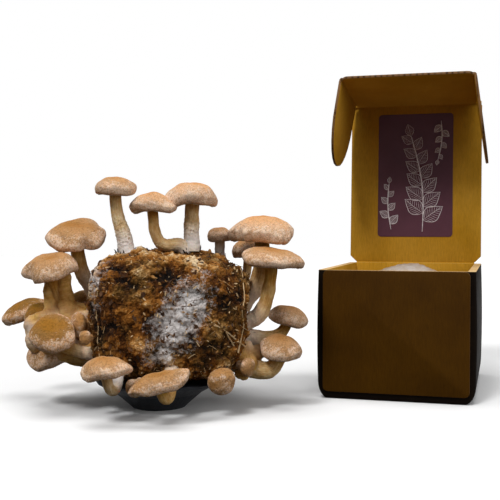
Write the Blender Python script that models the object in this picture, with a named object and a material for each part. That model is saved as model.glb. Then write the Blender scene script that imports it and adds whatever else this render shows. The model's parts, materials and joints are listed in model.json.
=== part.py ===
"""A mushroom grow kit: a block of sawdust on a low dark stand, with shiitake growing from it,
beside an open cardboard mailer box that holds a second, bagged block.

Sizes are in millimetres until they reach a mesh. X is to the right, Y away from the viewer,
Z up from the table. Places on the block are measured from the table point below its centre.
"""

import math

import bmesh
import bpy
from mathutils import Matrix, Vector, noise

MM = 0.001
GAP = 0.3  # air between touching pieces
SEAT_GAP = 0.5  # air cut round a root where it meets the lumpy block

# The whole kit is shifted so that its bounding box is centred over the origin.
KIT_SHIFT = Vector((-91.5, -42.7, 0.0))

# The block and its stand.
BLOCK_WIDE, BLOCK_DEEP, BLOCK_HIGH = 160.0, 182.0, 128.0
BLOCK_AT = Vector((-4.0, 0.0, 0.0))
BLOCK_TURN = math.radians(5.0)
BLOCK_SQUARENESS = 3.6  # exponent of the rounded box: higher is squarer
BLOCK_CUTS = 10
BLOCK_TAPER = 0.05  # how much narrower the foot is
BLOCK_DOME = 4.0  # how far the top's two ends drop
FOOT_PRESS = 1.2  # how deep the lumps of the foot are pressed flat
FOOT_BLEND = 8.0  # lumps fade out over the lowest part, one over this of the half height
LUMP_HIGH = 3.4
LUMP_WIDE = 21.0
FINE_LUMP_HIGH = 1.6
FINE_LUMP_WIDE = 9.0
STAND_HIGH = 27.5
STAND_AT = Vector((-12.0, -22.0, 0.0))
STAND_FOOT_R, STAND_RIM_R = 28.0, 62.0
STAND_SIDES = 32
# The dish's flank, as shares of the way from foot to rim and of the height.
STAND_FLANK = ((0.0, 0.05), (0.18, 0.25), (0.46, 0.55), (0.96, 0.89), (1.0, 0.96), (0.97, 1.0))

# Mushrooms.
CAP_SIDES = 14
BUTTON_SIDES = 10
STEM_BEVEL = 2  # gives a stem eight sides
STEM_RINGS = 7
STEM_STRAIGHT = 1.5

# The box. Along its own axes u runs along the front, v from the front to the back.
BOX_FRONT_AT = Vector((227.0, -1.0, 0.0))  # middle of the front wall's foot, from the block's centre
BOX_TURN = math.radians(-15.8)
BOX_WIDE, BOX_DEEP, BOX_HIGH = 160.0, 202.0, 133.6
BOARD = 3.0  # corrugated board
SIDE_WALL = 8.0  # rolled double side wall
FRONT_WALL = 4.0
CORNER_R = 3.0
FACING_WIDE, FACING_HIGH, FACING_FOOT = 149.0, 126.0, 7.3
FACING_THICK = 2.1
FACING_CORNER_R = 5.0

# The lid, its flap and ears.
CREASE = 1.3  # board stops this far from its fold line
HINGE_INSET = 1.0  # of the lid's fold line from the back of the box
LID_WIDE, LID_LONG = 159.0, 194.0
LID_LEAN = math.radians(3.2)  # back from upright
LID_CHAMFER = 7.0
FLAP_WIDE, FLAP_LONG = 147.0, 117.0
FLAP_RISE = math.radians(9.2)  # above level
FLAP_CORNER_R = 6.0
EAR_LONG, EAR_SPLAY = 88.0, math.radians(8.0)
EAR_FRONT, EAR_BACK = 4.0, 111.0  # its reach along the flap's end
EAR_SHOULDER = 29.0  # where its straight edges turn into the curve
EAR_STEPS = 13
LABEL_WIDE, LABEL_HIGH, LABEL_THICK = 91.0, 152.0, 0.4
LABEL_FOOT = 32.0
LABEL_CORNER_R = 4.0

# The bag in the box.
BAG_WIDE, BAG_DEEP, BAG_HIGH = 136.0, 178.0, 108.0
BAG_CREST = 24.0
BAG_CREST_R = (56.0, 50.0)
BAG_SQUARENESS = 6
BAG_CUTS = 5
BAG_BACK = 2.0  # how far behind the middle of the tray it lies


def clear_scene():
    for thing in list(bpy.data.objects):
        bpy.data.objects.remove(thing, do_unlink=True)


def material(name, colour, roughness, metallic=0.0):
    made = bpy.data.materials.new(name)
    made.use_nodes = True
    shader = made.node_tree.nodes["Principled BSDF"]
    shader.inputs["Base Color"].default_value = (*colour, 1.0)
    shader.inputs["Roughness"].default_value = roughness
    shader.inputs["Metallic"].default_value = metallic
    made.diffuse_color = (*colour, 1.0)
    return made


def add_empty(name, parent=None, location=(0, 0, 0), rotation=(0, 0, 0)):
    """An empty placed in millimetres in its parent's frame."""
    empty = bpy.data.objects.new(name, None)
    bpy.context.collection.objects.link(empty)
    empty.parent = parent
    empty.location = Vector(location) * MM
    empty.rotation_euler = rotation
    return empty


def add_object(name, bm, parent, finish, smooth=False):
    """Turns a bmesh drawn in millimetres into a named object."""
    bmesh.ops.recalc_face_normals(bm, faces=bm.faces)
    bmesh.ops.scale(bm, vec=(MM, MM, MM), verts=bm.verts)
    mesh = bpy.data.meshes.new(name)
    bm.to_mesh(mesh)
    bm.free()
    mesh.materials.append(finish)
    if smooth:
        mesh.shade_smooth()
        mesh.set_sharp_from_angle(angle=math.radians(45))
    made = bpy.data.objects.new(name, mesh)
    bpy.context.collection.objects.link(made)
    made.parent = parent
    return made


def rounded_outline(wide, high, corner, steps=4):
    """A rectangle's outline centred on the origin, with round corners, anticlockwise."""
    points = []
    for quarter in range(4):
        across = (1, -1, -1, 1)[quarter] * (wide / 2 - corner)
        up = (1, 1, -1, -1)[quarter] * (high / 2 - corner)
        for step in range(steps + 1):
            angle = math.radians(90 * (quarter + step / steps))
            points.append((across + corner * math.cos(angle), up + corner * math.sin(angle)))
    return points


def plate(outline, low, high):
    """A flat plate: an outline in X and Y, extruded from low to high along Z."""
    bm = bmesh.new()
    floor = bm.faces.new([bm.verts.new((x, y, low)) for x, y in outline])
    raised = bmesh.ops.extrude_face_region(bm, geom=[floor])
    tops = [item for item in raised["geom"] if isinstance(item, bmesh.types.BMVert)]
    bmesh.ops.translate(bm, verts=tops, vec=(0, 0, high - low))
    return bm


def stand_up(bm):
    """Turns a plate drawn in X and Y so that its Y runs up and its thickness along -Y."""
    bmesh.ops.rotate(bm, verts=bm.verts, matrix=Matrix.Rotation(math.radians(90), 3, "X"))
    return bm


def spun(profile, sides):
    """A solid turned about Z from (radius, height) points that start and end on the axis."""
    bm = bmesh.new()
    corners = [bm.verts.new((radius, 0, height)) for radius, height in profile]
    edges = [bm.edges.new(pair) for pair in zip(corners, corners[1:])]
    bmesh.ops.spin(
        bm, geom=corners + edges, cent=(0, 0, 0), axis=(0, 0, 1), angle=math.tau, steps=sides
    )
    bmesh.ops.remove_doubles(bm, verts=bm.verts, dist=0.01)
    return bm


def block_surface(direction):
    """The block's skin, from its own centre, in a direction given as a point of the unit cube."""
    power = sum(abs(part) ** BLOCK_SQUARENESS for part in direction) ** (1 / BLOCK_SQUARENESS)
    shape = Vector(direction) / power
    half = Vector((BLOCK_WIDE / 2, BLOCK_DEEP / 2, BLOCK_HIGH / 2))
    point = Vector(part * size for part, size in zip(shape, half))
    point.x *= 1.0 - BLOCK_TAPER * max(0.0, -shape.z)
    point.z -= BLOCK_DOME * max(0.0, shape.z) * shape.x ** 2
    lumps = LUMP_HIGH * noise.noise(point / LUMP_WIDE + Vector((3.1, 1.7, 0.4)))
    lumps += FINE_LUMP_HIGH * noise.noise(point / FINE_LUMP_WIDE)
    seat = min(1.0, max(0.0, (shape.z + 1.0) * FOOT_BLEND))
    return point + shape.normalized() * lumps * seat


def make_block(kit, finish, grow=0.0):
    """The lumpy sawdust block. grow pushes the skin outwards, for cutting what meets it."""
    bm = bmesh.new()
    bmesh.ops.create_cube(bm, size=2.0)
    bmesh.ops.subdivide_edges(bm, edges=bm.edges, cuts=BLOCK_CUTS, use_grid_fill=True)
    for corner in bm.verts:
        corner.co = block_surface(corner.co)
    bmesh.ops.triangulate(bm, faces=bm.faces)
    foot = min(corner.co.z for corner in bm.verts)
    for corner in bm.verts:
        corner.co.z = max(corner.co.z, foot + FOOT_PRESS)
        corner.co.z += STAND_HIGH + GAP - foot - FOOT_PRESS
    bmesh.ops.rotate(bm, verts=bm.verts, matrix=Matrix.Rotation(BLOCK_TURN, 3, "Z"))
    bmesh.ops.translate(bm, verts=bm.verts, vec=BLOCK_AT)
    if grow:
        bmesh.ops.recalc_face_normals(bm, faces=bm.faces)
        bm.normal_update()
        moves = [(corner, corner.normal.copy()) for corner in bm.verts]
        for corner, way in moves:
            corner.co += way * grow
    return add_object("block_cutter" if grow else "sawdust_block", bm, kit, finish)


def make_stand(kit, finish):
    """A dish turned about its middle, with a small flat foot and a flat top."""
    spread = STAND_RIM_R - STAND_FOOT_R
    flank = [(STAND_FOOT_R + out * spread, up * STAND_HIGH) for out, up in STAND_FLANK]
    profile = [(0, 0), (STAND_FOOT_R - CREASE, 0)] + flank + [(0, STAND_HIGH)]
    bm = spun(profile, STAND_SIDES)
    bmesh.ops.translate(bm, verts=bm.verts, vec=STAND_AT)
    return add_object("stand", bm, kit, finish, smooth=True)


def facing_turn(way):
    """The rotation that turns +Z to a direction."""
    return Vector((0, 0, 1)).rotation_difference(Vector(way).normalized()).to_matrix()


def cap_mesh(across, high, drop, lobes, dip, phase):
    """A cap with its underside's middle at the origin: a dome over an inrolled rim.

    drop is how far the rim hangs below the middle, dip how far the crown is pressed in,
    and lobes how strongly the rim waves in and out and up and down.
    """
    half = across / 2
    profile = [
        (0, 0),
        (0.30 * half, 0),
        (0.74 * half, -0.45 * drop),
        (0.93 * half, -drop),
        (1.00 * half, -0.55 * drop + 0.10 * high),
        (0.97 * half, 0.34 * high),
        (0.80 * half, 0.70 * high),
        (0.48 * half, 0.95 * high),
        (0, high - dip),
    ]
    bm = spun(profile, CAP_SIDES)
    for corner in bm.verts:
        angle = math.atan2(corner.co.y, corner.co.x)
        reach = math.hypot(corner.co.x, corner.co.y) / half
        outer = max(0.0, reach - 0.3) / 0.7
        swell = 0.07 * math.cos(2 * angle + phase) + 0.05 * math.cos(3 * angle + 2.3 * phase)
        wave = math.cos(2 * angle - 1.7 * phase) + 0.6 * math.cos(5 * angle + phase)
        stretch = 1.0 + lobes * swell * outer
        corner.co.x *= stretch
        corner.co.y *= stretch
        corner.co.z += 0.045 * across * lobes * wave * outer ** 2
    return bm


def make_cap(kit, finish, name, at, way, across, high, drop, lobes=1.0, dip=0.0, phase=0.0):
    bm = cap_mesh(across, high, drop, lobes, dip, phase)
    bmesh.ops.rotate(bm, verts=bm.verts, matrix=facing_turn(way))
    bmesh.ops.translate(bm, verts=bm.verts, vec=at)
    return add_object(name + "_cap", bm, kit, finish, smooth=True)


def bend(root, root_way, top, top_way, slack):
    """Points along a smooth bend from root to top that starts and ends along the given ways.

    The last stretch is straight, so that the end is square to the way it faces.
    """
    end_way = Vector(top_way).normalized()
    end = Vector(top)
    root, top = Vector(root), end - end_way * STEM_STRAIGHT
    reach = (top - root).length * slack
    first = root + Vector(root_way).normalized() * reach
    last = top - end_way * reach
    points = []
    for step in range(STEM_RINGS):
        t = step / (STEM_RINGS - 1)
        s = 1 - t
        points.append(
            s ** 3 * root + 3 * s * s * t * first + 3 * s * t * t * last + t ** 3 * top
        )
    return points + [end]


def tube(name, points, radii):
    """A closed tapering tube along points, as a curve whose bevel is one millimetre."""
    curve = bpy.data.curves.new(name, "CURVE")
    curve.dimensions = "3D"
    curve.bevel_depth = MM
    curve.bevel_resolution = STEM_BEVEL
    curve.use_fill_caps = True
    spline = curve.splines.new("POLY")
    spline.points.add(len(points) - 1)
    for spot, point, radius in zip(spline.points, points, radii):
        spot.co = (*(Vector(point) * MM), 1.0)
        spot.radius = radius
    holder = bpy.data.objects.new(name, curve)
    bpy.context.collection.objects.link(holder)
    bpy.context.view_layer.update()
    depsgraph = bpy.context.evaluated_depsgraph_get()
    mesh = bpy.data.meshes.new_from_object(holder.evaluated_get(depsgraph))
    bpy.data.objects.remove(holder, do_unlink=True)
    bm = bmesh.new()
    bm.from_mesh(mesh)
    bpy.data.meshes.remove(mesh)
    bmesh.ops.remove_doubles(bm, verts=bm.verts, dist=0.01 * MM)
    bmesh.ops.scale(bm, vec=(1 / MM, 1 / MM, 1 / MM), verts=bm.verts)
    return bm


def seat_on_block(stem, cutter):
    """Cuts a stem's root to the block's surface."""
    cut = stem.modifiers.new("seat", "BOOLEAN")
    cut.operation = "DIFFERENCE"
    cut.solver = "EXACT"
    cut.object = cutter


def make_stem(kit, finish, cutter, name, root, root_way, top, top_way, thick, slack=0.4):
    """A stem from inside the block to just under its cap. thick is (root, top) diameters."""
    end = Vector(top) - Vector(top_way).normalized() * GAP
    points = bend(root, root_way, end, top_way, slack)
    radii = []
    for step in range(STEM_RINGS + 1):
        t = min(1.0, step / (STEM_RINGS - 1))
        radii.append((thick[0] * (1 - t) ** 1.5 + thick[1] * (1 - (1 - t) ** 1.5)) / 2)
    stem = add_object(name + "_stem", tube(name, points, radii), kit, finish, smooth=True)
    seat_on_block(stem, cutter)
    return stem


def make_button(kit, finish, cutter, name, root, way, across, long):
    """A young mushroom, cap and stem in one lump."""
    half = across / 2
    profile = [
        (0, -0.35 * long),
        (0.42 * half, -0.35 * long),
        (0.45 * half, 0.35 * long),
        (0.80 * half, 0.42 * long),
        (1.00 * half, 0.58 * long),
        (0.86 * half, 0.84 * long),
        (0.45 * half, 0.98 * long),
        (0, long),
    ]
    bm = spun(profile, BUTTON_SIDES)
    bmesh.ops.rotate(bm, verts=bm.verts, matrix=facing_turn(way))
    bmesh.ops.translate(bm, verts=bm.verts, vec=root)
    button = add_object(name + "_button", bm, kit, finish, smooth=True)
    seat_on_block(button, cutter)
    return button


# Each mushroom that stands on a stem of its own: the cap's underside middle and the way it
# faces, its width, height, rim drop, waviness, crown dip and phase; then the stem's root, the
# way it leaves the block, its root and top diameters and how far it keeps each direction.
MUSHROOMS = {
    "tall": dict(
        at=(-55, -20, 215), way=(0.04, -0.04, 1), cap=(40, 13, 4, 0.5, 0, 0.4),
        root=(-43, -22, 140), leave=(0.05, 0, 1), thick=(17, 10), slack=0.45,
    ),
    "top_small": dict(
        at=(47, 30, 167), way=(-0.05, -0.1, 1), cap=(26, 11, 3, 0.4, 0, 2.0),
        root=(46, 30, 132), leave=(0, 0, 1), thick=(9, 7.5), slack=0.35,
    ),
    "right_wide": dict(
        at=(92, 10, 170), way=(0.02, -0.12, 1), cap=(67, 20, 5, 0.7, 0, 1.2),
        root=(62, 14, 98), leave=(1, 0, 0.35), thick=(17, 13), slack=0.42,
    ),
    "right_shelf": dict(
        at=(101, -27, 146), way=(0.10, -0.12, 1), cap=(64, 11, 4, 0.5, 1, 2.6),
        root=(60, -24, 84), leave=(1, 0, -0.15), thick=(16, 12), slack=0.5,
    ),
    "right_back": dict(
        at=(75, 52, 153), way=(-0.2, -0.1, 1), cap=(32, 12, 4, 0.5, 0, 0.2),
        root=(58, 52, 108), leave=(1, 0.1, 0.5), thick=(11, 9), slack=0.4,
    ),
    "right_mid": dict(
        at=(118, 8, 83), way=(0.20, -0.1, 1), cap=(41, 14, 3, 0.6, 0, 1.8),
        root=(60, 4, 68), leave=(1, 0, -0.2), thick=(13, 10), slack=0.42,
    ),
    "right_low": dict(
        at=(108, -37, 57), way=(0.14, -0.25, 1), cap=(41, 15, 3, 0.5, 0, 3.0),
        root=(62, -34, 50), leave=(1, 0, -0.6), thick=(16, 12), slack=0.62,
    ),
    "left_top": dict(
        at=(-99, 2, 169), way=(-0.06, -0.42, 1), cap=(58, 15, 5, 0.9, 2, 0.9),
        root=(-64, 4, 106), leave=(-1, 0, 0.25), thick=(14, 11), slack=0.45,
    ),
    "left_upper": dict(
        at=(-117, -30, 139), way=(-0.16, -0.22, 1), cap=(52, 13, 6, 0.8, 2, 2.2),
        root=(-60, -24, 88), leave=(-1, 0, -0.1), thick=(15, 13), slack=0.5,
    ),
    "left_far": dict(
        at=(-156, 26, 89), way=(-0.35, -0.1, 1), cap=(46, 13, 6, 0.5, 0, 0.6),
        root=(-62, 30, 72), leave=(-1, 0, -0.2), thick=(13, 10), slack=0.45,
    ),
    "left_front": dict(
        at=(-109, -66, 77), way=(-0.12, -0.75, 0.75), cap=(43, 13, 5, 0.5, 0, 1.4),
        root=(-60, -58, 58), leave=(-1, 0, -0.1), thick=(14, 11), slack=0.4,
    ),
    "left_low": dict(
        at=(-113, -16, 60), way=(-0.38, -0.35, 0.87), cap=(62, 16, 6, 0.6, 0, 2.9),
        root=(-62, -12, 46), leave=(-1, 0, -0.1), thick=(17, 13), slack=0.4,
    ),
    "left_inner": dict(
        at=(-100, 22, 99), way=(-0.45, -0.5, 0.8), cap=(30, 10, 3, 0.5, 0, 1.1),
        root=(-64, 28, 88), leave=(-1, 0, 0.1), thick=(11, 9), slack=0.4,
    ),
    "front_left": dict(
        at=(-51, -116, 51), way=(-0.10, -0.28, 1), cap=(46, 11, 4, 0.7, 0, 2.4),
        root=(-44, -82, 38), leave=(0, -0.9, -1), thick=(13, 12), slack=0.62,
    ),
    "front_mid": dict(
        at=(-2, -120, 40), way=(-0.26, -0.30, 1), cap=(50, 10, 5, 0.8, 0, 0.3),
        root=(6, -86, 41), leave=(0, -1, -0.8), thick=(15, 13), slack=0.75,
    ),
    "left_second": dict(
        at=(-134, -12, 90), way=(-0.25, -0.45, 1), cap=(30, 10, 3, 0.5, 0, 2.7),
        root=(-66, 10, 90), leave=(-1, 0, 0), thick=(9, 7), slack=0.12,
    ),
    "back_left": dict(
        at=(-34, 116, 118), way=(-0.1, 0.35, 1), cap=(44, 14, 5, 0.6, 0, 1.9),
        root=(-28, 76, 88), leave=(0, 1, 0.1), thick=(14, 11), slack=0.5,
    ),
    "back_right": dict(
        at=(30, 118, 84), way=(0.15, 0.4, 1), cap=(38, 13, 4, 0.5, 0, 0.7),
        root=(26, 76, 60), leave=(0, 1, 0), thick=(13, 10), slack=0.5,
    ),
}

# The pair on top: two caps on one forked stem.
TWIN_ROOT = (20, -6, 142)
TWIN_FORK = (12, -9, 161)
TWIN_CAPS = {
    "twin_left": dict(at=(-19, -17, 200), way=(-0.10, -0.05, 1), cap=(39, 11, 5, 1.0, 0, 1.0)),
    "twin_right": dict(at=(21, -5, 207), way=(0.08, -0.10, 1), cap=(49, 16, 4, 0.7, 0, 2.0)),
}
TWIN_THICK = (17, 13, 10.5, 14)  # at the root, the fork, under the left cap and the right one

BUTTONS = {
    "lower_right": dict(root=(48, -68, 38), way=(0.25, -0.75, -0.18), across=30, long=24),
    "right_corner": dict(root=(68, -52, 45), way=(0.8, -0.5, -0.1), across=21, long=16),
    "left_base": dict(root=(-76, -42, 84), way=(-0.9, -0.4, -0.05), across=26, long=18),
    "left_corner": dict(root=(-70, -70, 74), way=(-0.7, -0.7, 0.1), across=14, long=12),
    "front_corner": dict(root=(-64, -74, 42), way=(-0.5, -0.8, -0.15), across=15, long=14),
    "front_under": dict(root=(-24, -86, 34), way=(-0.3, -0.9, -0.35), across=20, long=16),
}


def make_twin(kit, finish, cutter):
    """The forked stem of the pair on top: a trunk and two arms joined by a Boolean union."""
    ends = {name: Vector(form["at"]) for name, form in TWIN_CAPS.items()}
    ways = {name: Vector(form["way"]).normalized() for name, form in TWIN_CAPS.items()}
    left = bend(
        TWIN_FORK, (-1, -0.1, -0.25), ends["twin_left"] - ways["twin_left"] * GAP,
        ways["twin_left"], 0.62,
    )
    right = bend(
        TWIN_ROOT, (0, 0, 1), ends["twin_right"] - ways["twin_right"] * GAP,
        ways["twin_right"], 0.35,
    )
    steps = [min(1.0, step / (STEM_RINGS - 1)) for step in range(STEM_RINGS + 1)]
    root, fork, thin, wide = TWIN_THICK
    left_radii = [(fork * (1 - t) + thin * t) / 2 for t in steps]
    right_radii = [(root * (1 - t) + wide * t) / 2 for t in steps]
    arm = add_object("twin_arm", tube("twin_arm", left, left_radii), kit, finish)
    stem = add_object("twin_stem", tube("twin_stem", right, right_radii), kit, finish, smooth=True)
    arm.hide_render = True
    arm.display_type = "WIRE"
    join = stem.modifiers.new("arm", "BOOLEAN")
    join.operation = "UNION"
    join.solver = "EXACT"
    join.object = arm
    seat_on_block(stem, cutter)
    return stem


def make_mushrooms(kit, cap_finish, stem_finish, cutter):
    for name, form in MUSHROOMS.items():
        across, high, drop, lobes, dip, phase = form["cap"]
        make_cap(
            kit, cap_finish, name, form["at"], form["way"], across, high, drop, lobes, dip, phase
        )
        make_stem(
            kit, stem_finish, cutter, name, form["root"], form["leave"], form["at"], form["way"],
            form["thick"], form["slack"],
        )
    for name, form in TWIN_CAPS.items():
        across, high, drop, lobes, dip, phase = form["cap"]
        make_cap(
            kit, cap_finish, name, form["at"], form["way"], across, high, drop, lobes, dip, phase
        )
    make_twin(kit, stem_finish, cutter)
    for name, form in BUTTONS.items():
        make_button(
            kit, cap_finish, cutter, name, form["root"], form["way"], form["across"], form["long"]
        )


def make_tray(box, outside):
    """Bottom and four walls as one folded tray, open at the top."""
    outer = rounded_outline(BOX_WIDE, BOX_DEEP, CORNER_R)
    bm = plate([(x, y + BOX_DEEP / 2) for x, y in outer], 0, BOX_HIGH)
    top = max(bm.faces, key=lambda face: face.calc_center_median().z)
    bmesh.ops.delete(bm, geom=[top], context="FACES_ONLY")
    rim = [edge for edge in bm.edges if edge.is_boundary]
    half = BOX_WIDE / 2 - SIDE_WALL
    front, back = FRONT_WALL, BOX_DEEP - BOARD
    inner = [(-half, front), (half, front), (half, back), (-half, back)]
    mouth = [bm.verts.new((x, y, BOX_HIGH)) for x, y in inner]
    floor = [bm.verts.new((x, y, BOARD)) for x, y in inner]
    mouth_edges = [bm.edges.new((mouth[i], mouth[(i + 1) % 4])) for i in range(4)]
    bmesh.ops.triangle_fill(bm, use_beauty=True, edges=rim + mouth_edges)
    for i in range(4):
        j = (i + 1) % 4
        bm.faces.new((mouth[i], mouth[j], floor[j], floor[i]))
    bm.faces.new(floor)
    return add_object("box_tray", bm, box, outside)


def make_facing(box, inside):
    """The brown panel on the front wall."""
    outline = rounded_outline(FACING_WIDE, FACING_HIGH, FACING_CORNER_R)
    outline = [(x, y + FACING_FOOT + FACING_HIGH / 2) for x, y in outline]
    bm = stand_up(plate(outline, GAP, GAP + FACING_THICK))
    return add_object("front_panel", bm, box, inside)


def chamfered(wide, low, high, cut):
    """A rectangle in X and Y whose two lower corners are cut off."""
    half = wide / 2
    return [
        (-half + cut, low), (half - cut, low), (half, low + cut),
        (half, high), (-half, high), (-half, low + cut),
    ]


def make_lid(hinge, inside):
    """The lid panel, drawn upright from its fold line, its inner face on the fold plane."""
    outline = chamfered(LID_WIDE, CREASE, LID_LONG - CREASE, LID_CHAMFER)
    bm = stand_up(plate(outline, -BOARD, 0))
    return add_object("box_lid", bm, hinge, inside)


def make_label(hinge, finish):
    outline = rounded_outline(LABEL_WIDE, LABEL_HIGH, LABEL_CORNER_R)
    outline = [(x, y + LABEL_FOOT + LABEL_HIGH / 2) for x, y in outline]
    bm = stand_up(plate(outline, GAP, GAP + LABEL_THICK))
    return add_object("lid_label", bm, hinge, finish)


def make_flap(hinge, inside):
    """The tuck flap, drawn level and forward from its fold line, its inner face below."""
    half = FLAP_WIDE / 2 - CREASE
    front = []
    for degrees in range(0, 91, 30):
        angle = math.radians(degrees)
        across = half - FLAP_CORNER_R * (1 - math.sin(angle))
        front.append((across, -FLAP_LONG + FLAP_CORNER_R * (1 - math.cos(angle))))
    outline = [(-x, y) for x, y in reversed(front)] + front
    outline += [(half, -CREASE), (-half, -CREASE)]
    return add_object("tuck_flap", plate(outline, 0, BOARD), hinge, inside)


def ear_outline():
    """One ear, hanging from its fold line at the flap's end: X runs from the flap's front
    edge to the lid, Y down. Two straight edges end in a half ellipse."""
    middle, reach = (EAR_FRONT + EAR_BACK) / 2, (EAR_BACK - EAR_FRONT) / 2
    points = [(EAR_BACK, CREASE), (EAR_FRONT, CREASE)]
    for step in range(1, EAR_STEPS):
        angle = math.pi * step / EAR_STEPS
        down = EAR_SHOULDER + (EAR_LONG - EAR_SHOULDER) * math.sin(angle)
        points.append((middle - reach * math.cos(angle), down))
    return points


def make_ear(hinge, inside, side):
    """side is -1 at the left end of the flap and 1 at the right."""
    bm = bmesh.new()
    outline = ear_outline()
    near = [bm.verts.new((0, x - FLAP_LONG, -y)) for x, y in outline]
    far = [bm.verts.new((side * BOARD, x - FLAP_LONG, -y)) for x, y in outline]
    bm.faces.new(near)
    bm.faces.new(list(reversed(far)))
    for i in range(len(outline)):
        j = (i + 1) % len(outline)
        bm.faces.new((near[i], far[i], far[j], near[j]))
    name = "flap_ear_left" if side < 0 else "flap_ear_right"
    return add_object(name, bm, hinge, inside)


def make_bag(box, finish):
    """The bagged block in the box, with the gathered crest of its bag."""
    bm = bmesh.new()
    bmesh.ops.create_cube(bm, size=2.0)
    bmesh.ops.subdivide_edges(bm, edges=bm.edges, cuts=BAG_CUTS, use_grid_fill=True)
    middle = (FRONT_WALL + BOX_DEEP - BOARD) / 2 + BAG_BACK
    for corner in bm.verts:
        power = sum(abs(part) ** BAG_SQUARENESS for part in corner.co) ** (1 / BAG_SQUARENESS)
        shape = corner.co / power
        x, y = shape.x * BAG_WIDE / 2, shape.y * BAG_DEEP / 2
        z = (shape.z + 1) / 2 * BAG_HIGH
        off = (x / BAG_CREST_R[0]) ** 2 + (y / BAG_CREST_R[1]) ** 2
        if shape.z > 0:
            z += BAG_CREST * math.exp(-off) * shape.z
        corner.co = (x, y + middle, z + BOARD + GAP)
    return add_object("grow_bag", bm, box, finish, smooth=True)


def make_box(kit, materials):
    box = add_empty("box", kit, BOX_FRONT_AT, (0, 0, BOX_TURN))
    make_tray(box, materials["outside"])
    make_facing(box, materials["inside"])
    make_bag(box, materials["bag"])
    lid_fold = add_empty(
        "lid_fold", box, (0, BOX_DEEP - HINGE_INSET, BOX_HIGH + GAP), (-LID_LEAN, 0, 0)
    )
    make_lid(lid_fold, materials["inside"])
    make_label(lid_fold, materials["label"])
    flap_fold = add_empty("flap_fold", lid_fold, (0, 0, LID_LONG), (LID_LEAN - FLAP_RISE, 0, 0))
    make_flap(flap_fold, materials["inside"])
    for side in (-1, 1):
        ear_fold = add_empty(
            "ear_fold_left" if side < 0 else "ear_fold_right",
            flap_fold,
            (side * FLAP_WIDE / 2, 0, 0),
            (0, -side * EAR_SPLAY, 0),
        )
        make_ear(ear_fold, materials["inside"], side)


def main():
    clear_scene()
    materials = {
        "block": material("sawdust", (0.17, 0.085, 0.032), 0.9),
        "cap": material("mushroom_cap", (0.62, 0.40, 0.24), 0.75),
        "stem": material("mushroom_stem", (0.78, 0.66, 0.50), 0.7),
        "stand": material("dark_stand", (0.012, 0.013, 0.016), 0.6),
        "outside": material("board_outside", (0.015, 0.011, 0.009), 0.6),
        "inside": material("kraft_board", (0.30, 0.18, 0.06), 0.8),
        "label": material("label_paper", (0.075, 0.022, 0.035), 0.45),
        "bag": material("filter_bag", (0.75, 0.68, 0.66), 0.5),
    }
    kit = add_empty("kit", location=KIT_SHIFT)
    make_block(kit, materials["block"])
    cutter = make_block(kit, materials["block"], grow=SEAT_GAP)
    cutter.hide_render = True
    cutter.display_type = "WIRE"
    make_stand(kit, materials["stand"])
    make_mushrooms(kit, materials["cap"], materials["stem"], cutter)
    make_box(kit, materials)


main()
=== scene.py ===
import json
import math
import random

import bmesh
import bpy
from mathutils import Matrix, Vector, noise
from mathutils.bvhtree import BVHTree


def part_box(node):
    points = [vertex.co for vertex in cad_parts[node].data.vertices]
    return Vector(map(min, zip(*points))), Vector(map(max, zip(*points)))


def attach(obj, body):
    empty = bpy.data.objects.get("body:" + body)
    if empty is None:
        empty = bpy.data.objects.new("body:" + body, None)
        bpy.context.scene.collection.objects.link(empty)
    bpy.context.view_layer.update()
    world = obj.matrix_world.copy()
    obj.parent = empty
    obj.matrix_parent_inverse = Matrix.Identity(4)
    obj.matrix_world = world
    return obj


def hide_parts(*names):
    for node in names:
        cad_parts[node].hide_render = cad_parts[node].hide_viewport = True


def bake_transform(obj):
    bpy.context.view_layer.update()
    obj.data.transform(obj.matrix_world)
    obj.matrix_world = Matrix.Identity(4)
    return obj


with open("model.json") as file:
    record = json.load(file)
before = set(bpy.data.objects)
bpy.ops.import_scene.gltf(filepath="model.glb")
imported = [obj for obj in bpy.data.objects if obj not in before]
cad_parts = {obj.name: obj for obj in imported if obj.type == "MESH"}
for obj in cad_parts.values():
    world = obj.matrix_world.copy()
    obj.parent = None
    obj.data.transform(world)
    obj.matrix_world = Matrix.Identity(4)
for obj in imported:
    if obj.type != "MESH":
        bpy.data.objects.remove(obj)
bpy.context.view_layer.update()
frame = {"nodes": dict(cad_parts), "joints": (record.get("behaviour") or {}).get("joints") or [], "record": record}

# Shiitake grow kit: a fruiting block on its stand beside an open mailer box with a bagged block.
# Metres, +Z up. Shapes start from the frame's own pieces; mm turns a size in millimetres to metres.
mm = 0.001
bodyOf = {node: body for body, nodes in frame["record"]["behaviour"]["bodies"].items() for node in nodes}
joints = {joint["name"]: joint for joint in frame["joints"]}
up = Vector((0, 0, 1))
merge = 0.02 * mm
dice = random.Random(11)


# Small steps used all over, as by hand

def pickOnly(thing):
    bpy.ops.object.select_all(action="DESELECT")
    thing.select_set(True)
    bpy.context.view_layer.objects.active = thing


def inEditMode(thing, *steps):
    pickOnly(thing)
    bpy.ops.object.mode_set(mode="EDIT")
    bpy.ops.mesh.select_all(action="SELECT")
    for step in steps:
        step()
    bpy.ops.object.mode_set(mode="OBJECT")


def turnFacesOut(thing):
    inEditMode(thing, lambda: bpy.ops.mesh.normals_make_consistent(inside=False))


def addModifier(thing, kind, **settings):
    modifier = thing.modifiers.new(kind.title(), kind)
    for key, value in settings.items():
        setattr(modifier, key, value)
    pickOnly(thing)
    bpy.ops.object.modifier_apply(modifier=modifier.name)


def subdivide(thing, levels):
    addModifier(thing, "SUBSURF", levels=levels, render_levels=levels)


def smooth(thing, rounds):
    addModifier(thing, "SMOOTH", factor=0.5, iterations=rounds)


def remesh(thing, cell):
    addModifier(thing, "REMESH", mode="VOXEL", voxel_size=cell * mm)


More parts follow.
